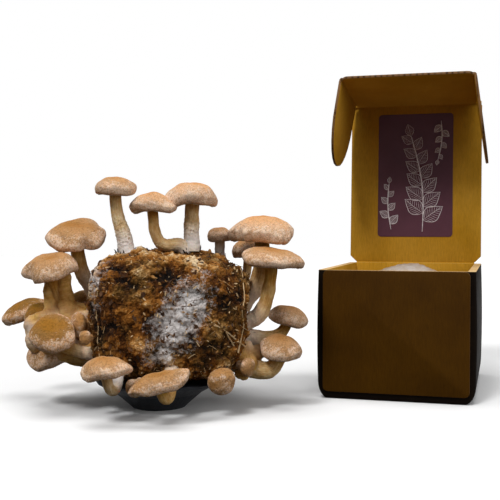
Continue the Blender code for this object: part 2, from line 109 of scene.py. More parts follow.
def roughen(thing, size, strength, middle=0.5, creased=False):
    # A Displace modifier with one of Blender's own textures; size is its grain in millimetres. Creased makes
    # round lumps with sharp valleys between them.
    texture = bpy.data.textures.new(f"clouds {size}", "CLOUDS")
    texture.noise_scale = size * mm
    texture.noise_type = "HARD_NOISE" if creased else "SOFT_NOISE"
    addModifier(thing, "DISPLACE", texture=texture, strength=strength * mm, mid_level=middle)


def newObject(name, data=None):
    thing = bpy.data.objects.new(name, data)
    bpy.context.collection.objects.link(thing)
    return thing


def newMesh(name, points, faces):
    mesh = bpy.data.meshes.new(name)
    mesh.from_pydata(points, [], faces)
    return newObject(name, mesh)


def takeCopy(node, name, quads=True):
    # A merged copy of a frame piece, to be worked on.
    thing = newObject(name, frame["nodes"][node].data.copy())
    thing.data.name = name
    thing.data.materials.clear()
    pickOnly(thing)
    bpy.ops.mesh.customdata_custom_splitnormals_clear()
    inEditMode(thing, lambda: bpy.ops.mesh.remove_doubles(threshold=merge))
    if quads:
        inEditMode(thing, lambda: bpy.ops.mesh.tris_convert_to_quads())
    return thing


def joinAll(things, name):
    bpy.ops.object.select_all(action="DESELECT")
    for thing in things:
        thing.select_set(True)
    bpy.context.view_layer.objects.active = things[0]
    bpy.ops.object.join()
    things[0].name = things[0].data.name = name
    return things[0]


def copyAt(thing, place):
    # A copy with a mesh of its own, put somewhere else.
    twin = thing.copy()
    twin.data = thing.data.copy()
    bpy.context.collection.objects.link(twin)
    twin.matrix_world = place
    return twin


def bakePlace(thing):
    pickOnly(thing)
    bpy.ops.object.transform_apply(location=True, rotation=True, scale=True)


def drawTube(name, knots, wide, steps, turns):
    # A Bezier curve along places with their widths, as a closed tube.
    bpy.ops.curve.primitive_bezier_curve_add(location=(0, 0, 0))
    curve = bpy.context.object
    spline = curve.data.splines[0]
    spline.bezier_points.add(len(knots) - 2)
    for knot, (place, radius) in zip(spline.bezier_points, knots):
        knot.co = place
        knot.radius = radius
        knot.handle_left_type = knot.handle_right_type = "AUTO"
    spline.resolution_u = steps
    curve.data.bevel_depth = wide
    curve.data.bevel_resolution = turns
    curve.data.use_fill_caps = True
    pickOnly(curve)
    bpy.ops.object.convert(target="MESH")
    thing = bpy.context.object
    thing.name = thing.data.name = name
    return thing


def toShare(value):
    return max(0, min(1, value))


def cornersOf(thing):
    # Each corner with its normal and its place in millimetres, all read before any corner moves.
    return [(corner, corner.normal.copy(), corner.co / mm) for corner in thing.data.vertices]


def shellOf(thing, home=Matrix()):
    # The surface as rays meet it, in the space that home leads to.
    faces = [list(face.vertices) for face in thing.data.polygons]
    return BVHTree.FromPolygons([home @ corner.co for corner in thing.data.vertices], faces)


def shadeSoft(thing, degrees):
    pickOnly(thing)
    bpy.ops.object.shade_smooth_by_angle(angle=math.radians(degrees))


def paint(thing, *materials):
    thing.data.materials.clear()
    for material in materials:
        thing.data.materials.append(material)
    return thing


def finishPiece(thing, node, replaced=True):
    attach(thing, bodyOf[node])
    if replaced:
        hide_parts(node)
    return thing


def spreadAttribute(thing, name, values):
    # values holds one number or one (r, g, b, 1) for each point.
    if isinstance(values[0], (float, int)):
        layer = thing.data.attributes.new(name, "FLOAT", "POINT")
        layer.data.foreach_set("value", values)
    else:
        layer = thing.data.attributes.new(name, "FLOAT_COLOR", "POINT")
        layer.data.foreach_set("color", [part for value in values for part in value])


# Finishes. Every socket knows its tree, so these steps need no more than the sockets that they join.

def newFinish(name, roughness, **sockets):
    material = bpy.data.materials.new(name)
    material.use_nodes = True
    shader = material.node_tree.nodes["Principled BSDF"]
    shader.inputs["Roughness"].default_value = roughness
    for socket, value in sockets.items():
        shader.inputs[socket.replace("_", " ")].default_value = value
    return material, material.node_tree


def addNode(tree, kind, **settings):
    # A setting is one of the node's own, an input's value or another node's output.
    node = tree.nodes.new(kind)
    for key, value in settings.items():
        if hasattr(node, key):
            setattr(node, key, value)
        elif isinstance(value, bpy.types.NodeSocket):
            tree.links.new(value, node.inputs[key])
        else:
            node.inputs[key].default_value = value
    return node


def fillSocket(socket, value):
    if isinstance(value, bpy.types.NodeSocket):
        value.id_data.links.new(value, socket)
    else:
        socket.default_value = (*value, 1) if isinstance(value, tuple) else value


def blendNode(kind, sockets, values, **settings):
    # A node that joins outputs, numbers and colours.
    tree = next(value.id_data for value in values if isinstance(value, bpy.types.NodeSocket))
    node = addNode(tree, kind, **settings)
    for socket, value in zip(sockets, values):
        fillSocket(node.inputs[socket], value)
    return node


def mathOf(operation, first, second, clamp=False):
    node = blendNode("ShaderNodeMath", (0, 1), (first, second), operation=operation, use_clamp=clamp)
    return node.outputs["Value"]


def times(first, second, clamp=False):
    return mathOf("MULTIPLY", first, second, clamp)


def plus(first, second):
    return mathOf("ADD", first, second)


def minus(first, second, clamp=False):
    return mathOf("SUBTRACT", first, second, clamp)


def mixOf(share, first, second, blend="MIX"):
    values = share, first, second
    return blendNode("ShaderNodeMix", (0, 6, 7), values, data_type="RGBA", blend_type=blend).outputs[2]


def objectPlace(tree, scale=(1, 1, 1), turn=0.0):
    # Object coordinates, turned about Z and stretched.
    source = addNode(tree, "ShaderNodeTexCoord").outputs["Object"]
    stretch = addNode(tree, "ShaderNodeMapping", Vector=source, Scale=scale, Rotation=(0, 0, -turn))
    return stretch.outputs["Vector"]


def noiseAt(place, scale, detail=3.0, rough=0.55, warp=0.0):
    settings = {"Scale": scale, "Detail": detail, "Roughness": rough, "Distortion": warp}
    return addNode(place.id_data, "ShaderNodeTexNoise", Vector=place, **settings).outputs["Fac"]


def cellEdges(place, scale):
    settings = {"feature": "DISTANCE_TO_EDGE", "Scale": scale}
    return addNode(place.id_data, "ShaderNodeTexVoronoi", Vector=place, **settings).outputs["Distance"]


def bandsAt(place, scale, warp):
    settings = {"bands_direction": "X", "Scale": scale, "Distortion": warp}
    return addNode(place.id_data, "ShaderNodeTexWave", Vector=place, **settings).outputs["Fac"]


def rampOf(value, *stops):
    node = addNode(value.id_data, "ShaderNodeValToRGB", Fac=value)
    elements = node.color_ramp.elements
    while len(elements) < len(stops):
        elements.new(0.5)
    for element, (place, colour) in zip(elements, stops):
        element.position = place
        element.color = (*colour, 1) if isinstance(colour, tuple) else (colour, colour, colour, 1)
    return node.outputs["Color"]


def wireUp(material, colour, height=None, distance=0.0, strength=1.0):
    # The colour and the relief go to the material's shader.
    tree = material.node_tree
    shader = tree.nodes["Principled BSDF"]
    fillSocket(shader.inputs["Base Color"], colour)
    if height is not None:
        bump = addNode(tree, "ShaderNodeBump", Strength=strength, Distance=distance * mm, Height=height)
        fillSocket(shader.inputs["Normal"], bump.outputs["Normal"])
    return material


def attributeOf(tree, name, output="Fac"):
    return addNode(tree, "ShaderNodeAttribute", attribute_name=name).outputs[output]


def zonesOf(tree, name):
    # The red, green and blue of the zones that spreadAttribute laid on the points.
    return addNode(tree, "ShaderNodeSeparateColor", Color=attributeOf(tree, name, "Color")).outputs[:3]


# shadeCrown and shadeSkin are the dark ramp of brown caps: their own browner colour, made darker still as painted
# shade for the lower caps.
capColours = {
    "crown": (0.68, 0.31, 0.105), "skin": (0.82, 0.46, 0.23), "rim": (0.84, 0.57, 0.38),
    "shadeCrown": (0.19, 0.088, 0.006), "shadeSkin": (0.34, 0.165, 0.035), "fleck": (0.90, 0.71, 0.55),
    "under": (0.50, 0.32, 0.11), "gold": (0.46, 0.19, 0.015), "crack": (0.48, 0.38, 0.28),
}


def makeCapFinish():
    # capZone: red runs from crown to rim, green marks the underside, blue how brown the cap is: its own darker
    # colour, and on the lower caps painted shade as well.
    material, tree = newFinish(
        "capSkin", 0.7, Subsurface_Weight=0.05, Subsurface_Scale=0.003, Specular_IOR_Level=0.1,
    )
    reach, under, brown = zonesOf(tree, "capZone")
    place = objectPlace(tree)
    shifted = plus(reach, times(minus(noiseAt(place, 75, 5, 0.62, 0.4), 0.5), 0.9))
    crown, skin, shadeCrown = capColours["crown"], capColours["skin"], capColours["shadeCrown"]
    pale = rampOf(shifted, (0.15, crown), (0.60, skin), (1.0, capColours["rim"]))
    # The dark ramp for brown caps: their own browner colour, and painted shade on the lower caps.
    shade = rampOf(shifted, (0.25, shadeCrown), (0.80, capColours["shadeSkin"]), (1.05, skin))
    colour = mixOf(brown, pale, shade)
    # Golden patches, strongest on brown caps, and a skin cracked into small plates away from the crown.
    gold = rampOf(noiseAt(place, 48, 3, 0.5), (0.50, 0.0), (0.64, 1.0))
    colour = mixOf(times(gold, plus(times(brown, 0.45), 0.04)), colour, capColours["gold"])
    cracks = minus(1.0, rampOf(cellEdges(place, 430), (0.02, 0.0), (0.16, 1.0)))
    cracked = times(cracks, minus(shifted, 0.35, True))
    colour = mixOf(cracked, colour, mixOf(1.0, colour, capColours["crack"], "MULTIPLY"))
    # Fine leathery grain, and pale flecks of veil that gather towards the rim.
    grain = noiseAt(place, 520, 4, 0.75)
    colour = mixOf(0.8, colour, rampOf(grain, (0.32, 0.42), (0.50, 0.95), (0.70, 1.0)), "MULTIPLY")
    flecks = noiseAt(place, 330, 4, 0.8)
    speckled = mathOf("GREATER_THAN", plus(flecks, times(minus(shifted, 0.45, True), 0.42)), 0.72)
    colour = mixOf(times(speckled, 0.5), colour, capColours["fleck"])
    colour = mixOf(under, colour, capColours["under"])
    return wireUp(material, colour, plus(grain, times(flecks, 0.8)), 1.1, 0.8)


# shade is the yellow-brown multiplied in: painted shade under the cap, and the stem's own brown.
stemColours = {
    "furrow": (0.46, 0.28, 0.08), "flesh": (0.76, 0.56, 0.30), "ridge": (0.88, 0.78, 0.61),
    "blotch": (0.66, 0.48, 0.30), "shade": (0.80, 0.56, 0.19), "foot": (0.80, 0.72, 0.66),
    "scale": (0.36, 0.20, 0.08),
}


def makeStemFinish():
    # The curve's own UV map: V runs round the stem and U along it, from the cap to the root. stemZone: red is
    # scaly, green the white foot, blue the yellow-brown: painted shade under the cap and the stem's own brown.
    material, tree = newFinish(
        "stemFlesh", 0.68, Subsurface_Weight=0.08, Subsurface_Scale=0.004, Specular_IOR_Level=0.12,
    )
    along = addNode(tree, "ShaderNodeUVMap", uv_map="UVMap").outputs["UV"]
    stretched = addNode(tree, "ShaderNodeMapping", Vector=along, Scale=(3, 16, 1)).outputs["Vector"]
    fibres = noiseAt(stretched, 2.2, 5, 0.7)
    furrow, flesh, ridge = stemColours["furrow"], stemColours["flesh"], stemColours["ridge"]
    colour = rampOf(fibres, (0.28, furrow), (0.48, flesh), (0.72, ridge))
    place = objectPlace(tree)
    blotches = rampOf(noiseAt(place, 120, 4, 0.6), (0.32, stemColours["blotch"]), (0.60, 1.0))
    colour = mixOf(0.8, colour, blotches, "MULTIPLY")
    scaly, foot, shade = zonesOf(tree, "stemZone")
    # Yellow-brown multiplied in by the zone: painted shade under the cap, and the stem's own brown.
    colour = mixOf(shade, colour, mixOf(1.0, colour, stemColours["shade"], "MULTIPLY"))
    colour = mixOf(foot, colour, stemColours["foot"])
    scales = times(mathOf("GREATER_THAN", noiseAt(place, 480, 3), 0.60), scaly)
    colour = mixOf(times(scales, 0.8), colour, stemColours["scale"])
    return wireUp(material, colour, plus(fibres, noiseAt(place, 500, 3)), 0.8, 0.8)


blockLook = {
    # Cell of the remesh, then the layers of relief: grain, height, middle, and whether it is creased.
    "cell": 1.35, "smooth": 6,
    "relief": ((30.0, 11.0, 0.55), (22.0, 8.5, 0.35, True), (7.0, 3.8, 0.3, True), (2.4, 2.6, 0.5)),
    # Loose pieces: length, width and thickness, then how many, their sizes, tones and lift off the block.
    "loose": {
        "crumb_lumps": ((6.5, 4.2, 3.0), 700, (0.3, 0.9), (0.1, 0.8), -0.6),
        "wood_chips": ((3.6, 1.3, 0.5), 3300, (0.4, 1.3), (0.15, 1.0), 0.0),
        "wood_fibres": ((11, 0.5, 0.4), 420, (0.5, 1.3), (0.3, 1.0), 0.2),
    },
    # They lie above a height, lean off the surface, and each flake tapers and bends.
    "above": 30.0, "lean": 0.5, "toneBend": 1.3, "taper": 1.2, "bend": 0.12,
    # Pale growth: place, size, lean about Y and strength.
    "growth": (0.68, 0.64, 0.62),
    "growths": (((-76, -136, 93), (30, 40, 62), -32, 2.3), ((-170, -105, 128), (30, 60, 40), 0, 1.6)),
    # Colours by height: near-black painted shade deep in the hollows, up to a beige on the highest crumbs that is
    # partly pale fibre and partly painted highlight.
    "rustyShadeToHighlight": (
        (0.16, (0.005, 0.002, 0.001)), (0.38, (0.085, 0.026, 0.003)), (0.62, (0.30, 0.108, 0.014)),
        (0.84, (0.54, 0.27, 0.075)), (1.0, (0.82, 0.62, 0.38)),
    ),
    "oliveShadeToHighlight": (
        (0.18, (0.005, 0.003, 0.001)), (0.42, (0.066, 0.031, 0.005)), (0.66, (0.20, 0.098, 0.022)),
        (0.84, (0.46, 0.29, 0.12)), (1.0, (0.82, 0.66, 0.44)),
    ),
    "chips": (
        (0.0, (0.010, 0.004, 0.001)), (0.42, (0.11, 0.038, 0.006)), (0.74, (0.36, 0.17, 0.040)),
        (0.95, (0.72, 0.51, 0.28)),
    ),
}


def nearSpot(tree, at, size, lean):
    # 1 at a spot and 0 past its size, in millimetres, leaning about Y.
    place = addNode(tree, "ShaderNodeTexCoord").outputs["Object"]
    for step, values in (
        ("Location", [-part * mm for part in at]), ("Rotation", (0, math.radians(lean), 0)),
        ("Scale", [1 / (part * mm) for part in size]),
    ):
        place = addNode(tree, "ShaderNodeMapping", Vector=place, **{step: values}).outputs["Vector"]
    return addNode(tree, "ShaderNodeTexGradient", gradient_type="SPHERICAL", Vector=place).outputs["Fac"]


def makeSawdustFinish():
    # heap is how far the crumbs stand out of the block's own surface, in millimetres.
    material, tree = newFinish("fruitingSawdust", 0.7, Specular_IOR_Level=0.12)
    place = objectPlace(tree)
    grain = noiseAt(place, 420, 5, 0.75)
    height = plus(attributeOf(tree, "heap"), times(minus(grain, 0.5), 10.0))
    # Colour by height: painted shade in the hollows, and on the highest crumbs a beige that is partly pale fibre
    # and partly painted highlight.
    scaled = times(plus(height, 6.0), 0.095, True)
    tint = rampOf(noiseAt(place, 38, 4, 0.6), (0.47, 0.0), (0.62, 1.0))
    colour = mixOf(tint, rampOf(scaled, *blockLook["rustyShadeToHighlight"]), rampOf(scaled, *blockLook["oliveShadeToHighlight"]))
    threads = times(minus(noiseAt(place, 260, 5, 0.7, 0.8), 0.62), 3.4)
    broken = plus(threads, times(minus(noiseAt(place, 60, 4, 0.6, 0.5), 0.5), 3.6))
    for at, size, lean, strong in blockLook["growths"]:
        near = times(nearSpot(tree, at, size, lean), strong)
        veil = times(times(plus(near, broken), mathOf("GREATER_THAN", near, 0.02)), 0.85, True)
        colour = mixOf(veil, colour, blockLook["growth"])
    return wireUp(material, colour, grain, 2.2, 0.9)


def makeChipFinish():
    # chipTone runs from a dark to a pale flake.
    material, tree = newFinish("woodChips", 0.55, Specular_IOR_Level=0.25)
    colour = rampOf(attributeOf(tree, "chipTone"), *blockLook["chips"])
    grain = noiseAt(objectPlace(tree), 900, 3)
    colour = mixOf(0.6, colour, rampOf(grain, (0.3, 0.5), (0.6, 1.0)), "MULTIPLY")
    return wireUp(material, colour, grain, 0.5)


# The board's axes: boxAcross runs along the lid's fold, boxBack from the front wall to the back.
boxAcross = Vector(joints["lid_fold"]["axis"]).normalized()
boxTurn = math.atan2(boxAcross.y, boxAcross.x)
boxBack = up.cross(boxAcross)
# Kraft inside and printed black outside, with the fluted core showing at the cut edges. Each kraft has a
# light and a dark colour and a roughness.
boardLook = {
    "kraftInside": ((0.64, 0.335, 0.036), (0.49, 0.240, 0.013), 0.82),
    # The front panel's kraft is the board's kraft made far darker: painted shade.
    "shadedPanelKraft": ((0.084, 0.033, 0.0008), (0.054, 0.020, 0.0004), 0.70),
    "rimKraft": ((0.80, 0.55, 0.27), (0.60, 0.38, 0.16), 0.85),
    # The cut board's colour, then the painted shade in the flutes' hollows, then the bevel's width.
    "edge": (0.24, 0.125, 0.05), "fluteShade": (0.035, 0.014, 0.004), "bevel": 0.5,
    # A face belongs to a side of the board where it looks that way by at least this much.
    "facing": 0.8,
}


def makeBoardFinish(name):
    # Kraft paper: soft clouds, fine fibres along the board and a faint washboard from the flutes.
    light, dark, roughness = boardLook[name]
    material, tree = newFinish(name, roughness, Specular_IOR_Level=0.07)
    place = objectPlace(tree, turn=boxTurn)
    fibres = noiseAt(objectPlace(tree, (1, 1, 0.12), boxTurn), 900, 3, 0.7)
    colour = rampOf(noiseAt(place, 13, 4, 0.6), (0.30, dark), (0.70, light))
    colour = mixOf(0.55, colour, rampOf(fibres, (0.30, 0.62), (0.62, 1.0)), "MULTIPLY")
    return wireUp(material, colour, plus(fibres, times(bandsAt(place, 42, 0.4), 0.5)), 0.25, 0.6)


def makeCutFinish():
    # A cut edge: two liners with flutes between, drawn as dark pockets: painted shade in the flutes' hollows.
    material, tree = newFinish("cutBoard", 0.9, Specular_IOR_Level=0.15)
    place = objectPlace(tree, turn=boxTurn)
    pockets = times(bandsAt(place, 48, 1.5), noiseAt(place, 300, 3))
    colour = rampOf(pockets, (0.25, boardLook["edge"]), (0.60, boardLook["fluteShade"]))
    return wireUp(material, colour, pockets, -0.6)


def makeFilmFinish():
    # Cloudy film over a white-grown block.
    material, tree = newFinish("cloudyFilm", 0.28, Coat_Weight=0.4, Coat_Roughness=0.15)
    place = objectPlace(tree, turn=boxTurn)
    growth = noiseAt(place, 45, 5, 0.65, 0.3)
    colour = rampOf(
        growth, (0.30, (0.32, 0.21, 0.13)), (0.44, (0.46, 0.37, 0.29)), (0.62, (0.56, 0.49, 0.44)),
    )
    creases = cellEdges(objectPlace(tree, (1, 1, 2), boxTurn), 60)
    return wireUp(material, colour, plus(creases, noiseAt(place, 160, 3)), 1.4, 0.7)


# Finishes of one cloud: its noise, the two stops of its colour and of its roughness, then the noise of the
# grain with its depth and strength.
plainLook = {
    "gillFlesh": dict(
        cloud=(90, 3), colours=((0.3, (0.60, 0.43, 0.24)), (0.7, (0.76, 0.62, 0.44))),
        grain=(900, 2), relief=(0.4,), roughness=0.7, Subsurface_Weight=0.1, Subsurface_Scale=0.003,
    ),
    "darkStand": dict(
        cloud=(60, 5, 0.65), colours=((0.35, (0.008, 0.009, 0.012)), (0.75, (0.030, 0.033, 0.040))),
        rubbed=((0.3, 0.40), (0.7, 0.62)), grain=(700, 3), relief=(0.3,), roughness=0.5,
        Specular_IOR_Level=0.2,
    ),
    "printedBlack": dict(
        cloud=(55, 5, 0.7), colours=((0.45, (0.004, 0.002, 0.001)), (0.85, (0.010, 0.006, 0.003))),
        rubbed=((0.3, 0.55), (0.8, 0.72)), grain=(700, 3), relief=(0.2, 0.6), turn=boxTurn, roughness=0.6,
        Specular_IOR_Level=0.04,
    ),
    "maroonPaper": dict(
        cloud=(30, 4), colours=((0.3, (0.085, 0.026, 0.040)), (0.75, (0.112, 0.037, 0.056))),
        grain=(1500, 2), relief=(0.06, 0.5), turn=boxTurn, roughness=0.42, Specular_IOR_Level=0.3,
    ),
    "paleInk": dict(
        cloud=(400, 3), colours=((0.30, (0.62, 0.55, 0.57)), (0.60, (0.88, 0.83, 0.84))), roughness=0.5,
    ),
}


def makePlainFinish(name, cloud, colours, roughness, rubbed=(), grain=(), relief=(), turn=0.0, **sockets):
    material, tree = newFinish(name, roughness, **sockets)
    place = objectPlace(tree, turn=turn)
    tone = noiseAt(place, *cloud)
    if rubbed:
        fillSocket(tree.nodes["Principled BSDF"].inputs["Roughness"], rampOf(tone, *rubbed))
    return wireUp(material, rampOf(tone, *colours), noiseAt(place, *grain) if grain else None, *relief)


print("finishes")
capSkin, stemFlesh, cloudyFilm = makeCapFinish(), makeStemFinish(), makeFilmFinish()
fruitingSawdust, woodChips, cutBoard = makeSawdustFinish(), makeChipFinish(), makeCutFinish()
kraft, shadedPanelKraft, rimKraft = [makeBoardFinish(name) for name in ("kraftInside", "shadedPanelKraft", "rimKraft")]
gillFlesh, darkStand, printedBlack, maroonPaper, paleInk = [
    makePlainFinish(name, **look) for name, look in plainLook.items()
]


# Mushrooms

capLook = {
    "sides": 88, "rings": 44, "topShare": 0.56, "rimShare": 0.15, "rimAt": 0.36, "dome": 2.3, "edge": 0.62,
    "lip": 0.86, "flat": 0.22, "dipWide": 0.42, "waves": 5, "dimple": 1.1, "dimpleWide": 10.0,
    "wrinkle": 0.22, "wrinkleWide": 3.0, "gills": 54, "gillDeep": 2.4, "gillThick": 0.34, "gillParts": 6,
    # Waves and pulls set in past calm, the underside begins at underFrom, and both calm the skin's relief.
    "calm": 0.3, "underFrom": 0.73, "wrinkleMiddle": 0.4, "underCalm": 0.7, "underBend": 1.3,
    # The inner and outer end of the long and the short gills, as shares of the cap, and how they fade.
    "longGill": (0.24, 0.84), "shortGill": (0.56, 0.84), "gillFade": 5, "gillFull": 20.0, "gillInto": 0.5,
    "gillCast": -40.0,
}
# Each cap's own look: how brown it is (its own colour, and on the lower caps painted shade as well), how
# domed (dome, edge), how much its crown sinks (dip) or rises, how narrow it is from front to back, its sides
# where they are finer than the others', and where its rim is pulled: a turn from +X seen from above, a spread in
# degrees, out and down in millimetres.
capForm = {
    "tall": dict(brown=0.25, rims=((200, 40, 0, 1),)),
    "twin_right": dict(brown=0.0, dome=3.0, rims=((200, 50, 6, 5), (10, 40, 1, 2))),
    "twin_left": dict(brown=0.08, rise=2, edge=0.75, rims=((180, 42, 2, 0), (0, 45, 5, 5))),
    "right_wide": dict(
        brown=0.0, dome=2.0, edge=0.74, sides=176,
        rims=(
            (-52, 3, -3, -2), (-40, 4, -5, 1), (-31, 3, -3, -3), (-22, 4, -7, 1), (-12, 3, -4, -3),
            (-2, 4, -7, 0), (8, 3, -3, -3), (20, 4, -5, -1), (0, 30, 0, -2.5), (175, 40, 1, 1.5),
            (205, 4, -3, -2), (222, 4, -4, -2), (243, 4, -3, -2),
        ),
    ),
    "right_shelf": dict(brown=0.38, dome=3.4, edge=0.6, rims=((5, 45, 0, 1.5),)),
    "top_small": dict(brown=0.15),
    "right_back": dict(brown=0.35, rims=((190, 40, 0, 3),)),
    "right_mid": dict(brown=0.22, rims=((-60, 40, 0, 2), (20, 30, 2, 0))),
    "right_low": dict(brown=0.48, rims=((0, 40, 2, 1), (-100, 40, 0, 2))),
    "left_top": dict(brown=0.52, dip=2.5, rims=((-58, 10, -9, -1), (-112, 48, 2, 3.5), (-20, 30, 2, 1))),
    "left_upper": dict(
        brown=0.50, dip=5, dome=3.2,
        rims=((-95, 62, 1, 6), (184, 13, 6, 0), (160, 16, -3, 0), (212, 16, -3, 1), (10, 30, 0, 2)),
    ),
    "left_far": dict(brown=0.95, dome=2.0, rims=((200, 35, 2, 2),)),
    "left_second": dict(brown=1.0),
    "left_front": dict(brown=0.88, dome=2.6, rims=((-20, 40, 2, 2),)),
    "left_low": dict(brown=0.70, dome=2.8, rims=((185, 50, 5, 2), (-90, 60, 3, 2))),
    "left_inner": dict(brown=0.9),
    "front_left": dict(brown=0.42, dip=0.5, edge=0.7, narrow=0.66, rims=((-8, 30, 3, 1), (200, 45, 0, 3))),
    "front_mid": dict(brown=0.55, dip=2.5, edge=0.75, narrow=0.55, rims=((190, 35, 4, 4), (15, 35, 2, -2))),
    "back_left": dict(brown=0.3, rims=((90, 40, 2, 3),)),
    "back_right": dict(brown=0.4),
}


def inOrder(corners):
    # Sums over a set of corners come out the same in every run only in a fixed order.
    return sorted(corners, key=lambda corner: corner.index)


def capFrame(node):
    # The cap's own axes: the flat middle of its underside gives its place and the way it faces.
    bm = bmesh.new()
    bm.from_mesh(frame["nodes"][node].data)
    bmesh.ops.remove_doubles(bm, verts=bm.verts, dist=merge)
    bm.verts.index_update()
    bm.normal_update()
    flats = [[face for face in bm.faces if face.normal.dot(first.normal) > 0.99999] for first in bm.faces]
    flat = max(flats, key=len)
    facing = -flat[0].normal.copy()
    ring = inOrder({corner for face in flat for corner in face.verts})
    middle = sum((corner.co for corner in ring), Vector()) / len(ring)
    sideways = (Vector((1, 0, 0)) - facing * facing.x).normalized()
    turn = Matrix((sideways, facing.cross(sideways), facing)).transposed().to_4x4()
    space = Matrix.Translation(middle) @ turn
    home = space.inverted()
    points = [home @ corner.co for corner in bm.verts]
    bm.free()
    return space, points


def waveOf(samples):
    # The mean and the first few waves of values taken at even turns.
    count = len(samples)
    parts = [(sum(value for _, value in samples) / count, 0)]
    for order in range(1, capLook["waves"] + 1):
        parts.append([
            sum(value * shape(order * turn) for turn, value in samples) * 2 / count
            for shape in (math.cos, math.sin)
        ])
    return parts


def waveAt(parts, turn):
    return sum(
        even * math.cos(order * turn) + odd * math.sin(order * turn)
        for order, (even, odd) in enumerate(parts)
    )


def polar(point):
    return math.atan2(point.y, point.x), math.hypot(point.x, point.y)


def rimOf(points):
    # The frame cap's rim: how far it reaches and how high it runs round about, and how low it hangs.
    spokes = {}
    for point in points:
        turn, far = polar(point)
        if far > 2 * mm:
            spokes.setdefault(round(turn, 2), []).append(point)
    spokes = {turn: spoke for turn, spoke in spokes.items() if len(spoke) > 3}
    tips = {turn: max(spoke, key=lambda point: polar(point)[1]) for turn, spoke in spokes.items()}
    reach = waveOf([(turn, polar(tip)[1]) for turn, tip in tips.items()])
    rise = waveOf([(turn, tip.z) for turn, tip in tips.items()])
    lows = [min(point.z for point in spoke) for spoke in spokes.values()]
    return reach, [(0, 0)] + rise[1:], -sum(lows) / len(lows)


def capProfile(share, form, high, drop):
    # One point of the cap's section, from the crown (0) over the rim to the middle underneath (1).
    top, rim, lip, flat = [capLook[key] for key in ("topShare", "rimShare", "lip", "flat")]
    edge = -drop + capLook["rimAt"] * (high + drop)
    if share < top:
        out = math.sin(share / top * math.pi / 2)
        dome, sharp = form.get("dome", capLook["dome"]), form.get("edge", capLook["edge"])
        rise = edge + (high - edge) * max(0, 1 - out ** dome) ** sharp
        return out, rise - form.get("dip", 0) * mm * math.exp(-((out / capLook["dipWide"]) ** 2))
    if share < top + rim:
        turn = (share - top) / rim * math.pi / 2
        return 1 - (1 - lip) * (1 - math.cos(turn)), edge - (edge + drop) * math.sin(turn)
    out = lip * (1 - (share - top - rim) / (1 - top - rim))
    return out, -drop * max(0, (out - flat) / (lip - flat)) ** capLook["underBend"]


def pullsAt(form, turn):
    # How far out and down the rim is pulled at a turn.
    out = down = 0
    for at, spread, outward, downward in form.get("rims", ()):
        off = (math.degrees(turn) - at + 180) % 360 - 180
        near = math.exp(-((off / spread) ** 2))
        out += outward * mm * near
        down += downward * mm * near
    return out, down


def shapeCap(name):
    # A ball drawn out along the cap's section, with the frame cap's rim and its own pulls.
    form = capForm[name]
    space, points = capFrame(name + "_cap")
    reach, wave, drop = rimOf(points)
    high = max(point.z for point in points) + form.get("rise", 0) * mm
    bpy.ops.mesh.primitive_uv_sphere_add(
        segments=form.get("sides", capLook["sides"]), ring_count=capLook["rings"], radius=1,
    )
    thing = bpy.context.object
    zones = []
    for corner in thing.data.vertices:
        share = math.acos(max(-1, min(1, corner.co.z))) / math.pi
        turn = polar(corner.co)[0]
        out, rise = capProfile(share, form, high, drop)
        outer = (max(0, out - capLook["calm"]) / (1 - capLook["calm"])) ** 2
        pulled, hung = pullsAt(form, turn)
        far = (waveAt(reach, turn) + pulled * outer) * out
        rise += (waveAt(wave, turn) - hung) * outer
        across = far * math.sin(turn) * form.get("narrow", 1)
        corner.co = space @ Vector((far * math.cos(turn), across, rise))
        zones.append((min(1, out), float(share > capLook["underFrom"]), form["brown"], 1))
    thing.data.update()
    for (corner, normal, place), (out, under, *_) in zip(cornersOf(thing), zones):
        lump = capLook["dimple"] * noise.noise(place / capLook["dimpleWide"])
        wrinkle = capLook["wrinkle"] * noise.noise(place / capLook["wrinkleWide"])
        lump += wrinkle * (capLook["wrinkleMiddle"] + out)
        corner.co += normal * lump * mm * (1 - capLook["underCalm"] * under)
    spreadAttribute(thing, "capZone", zones)
    shadeSoft(thing, 80)
    return thing, space, reach


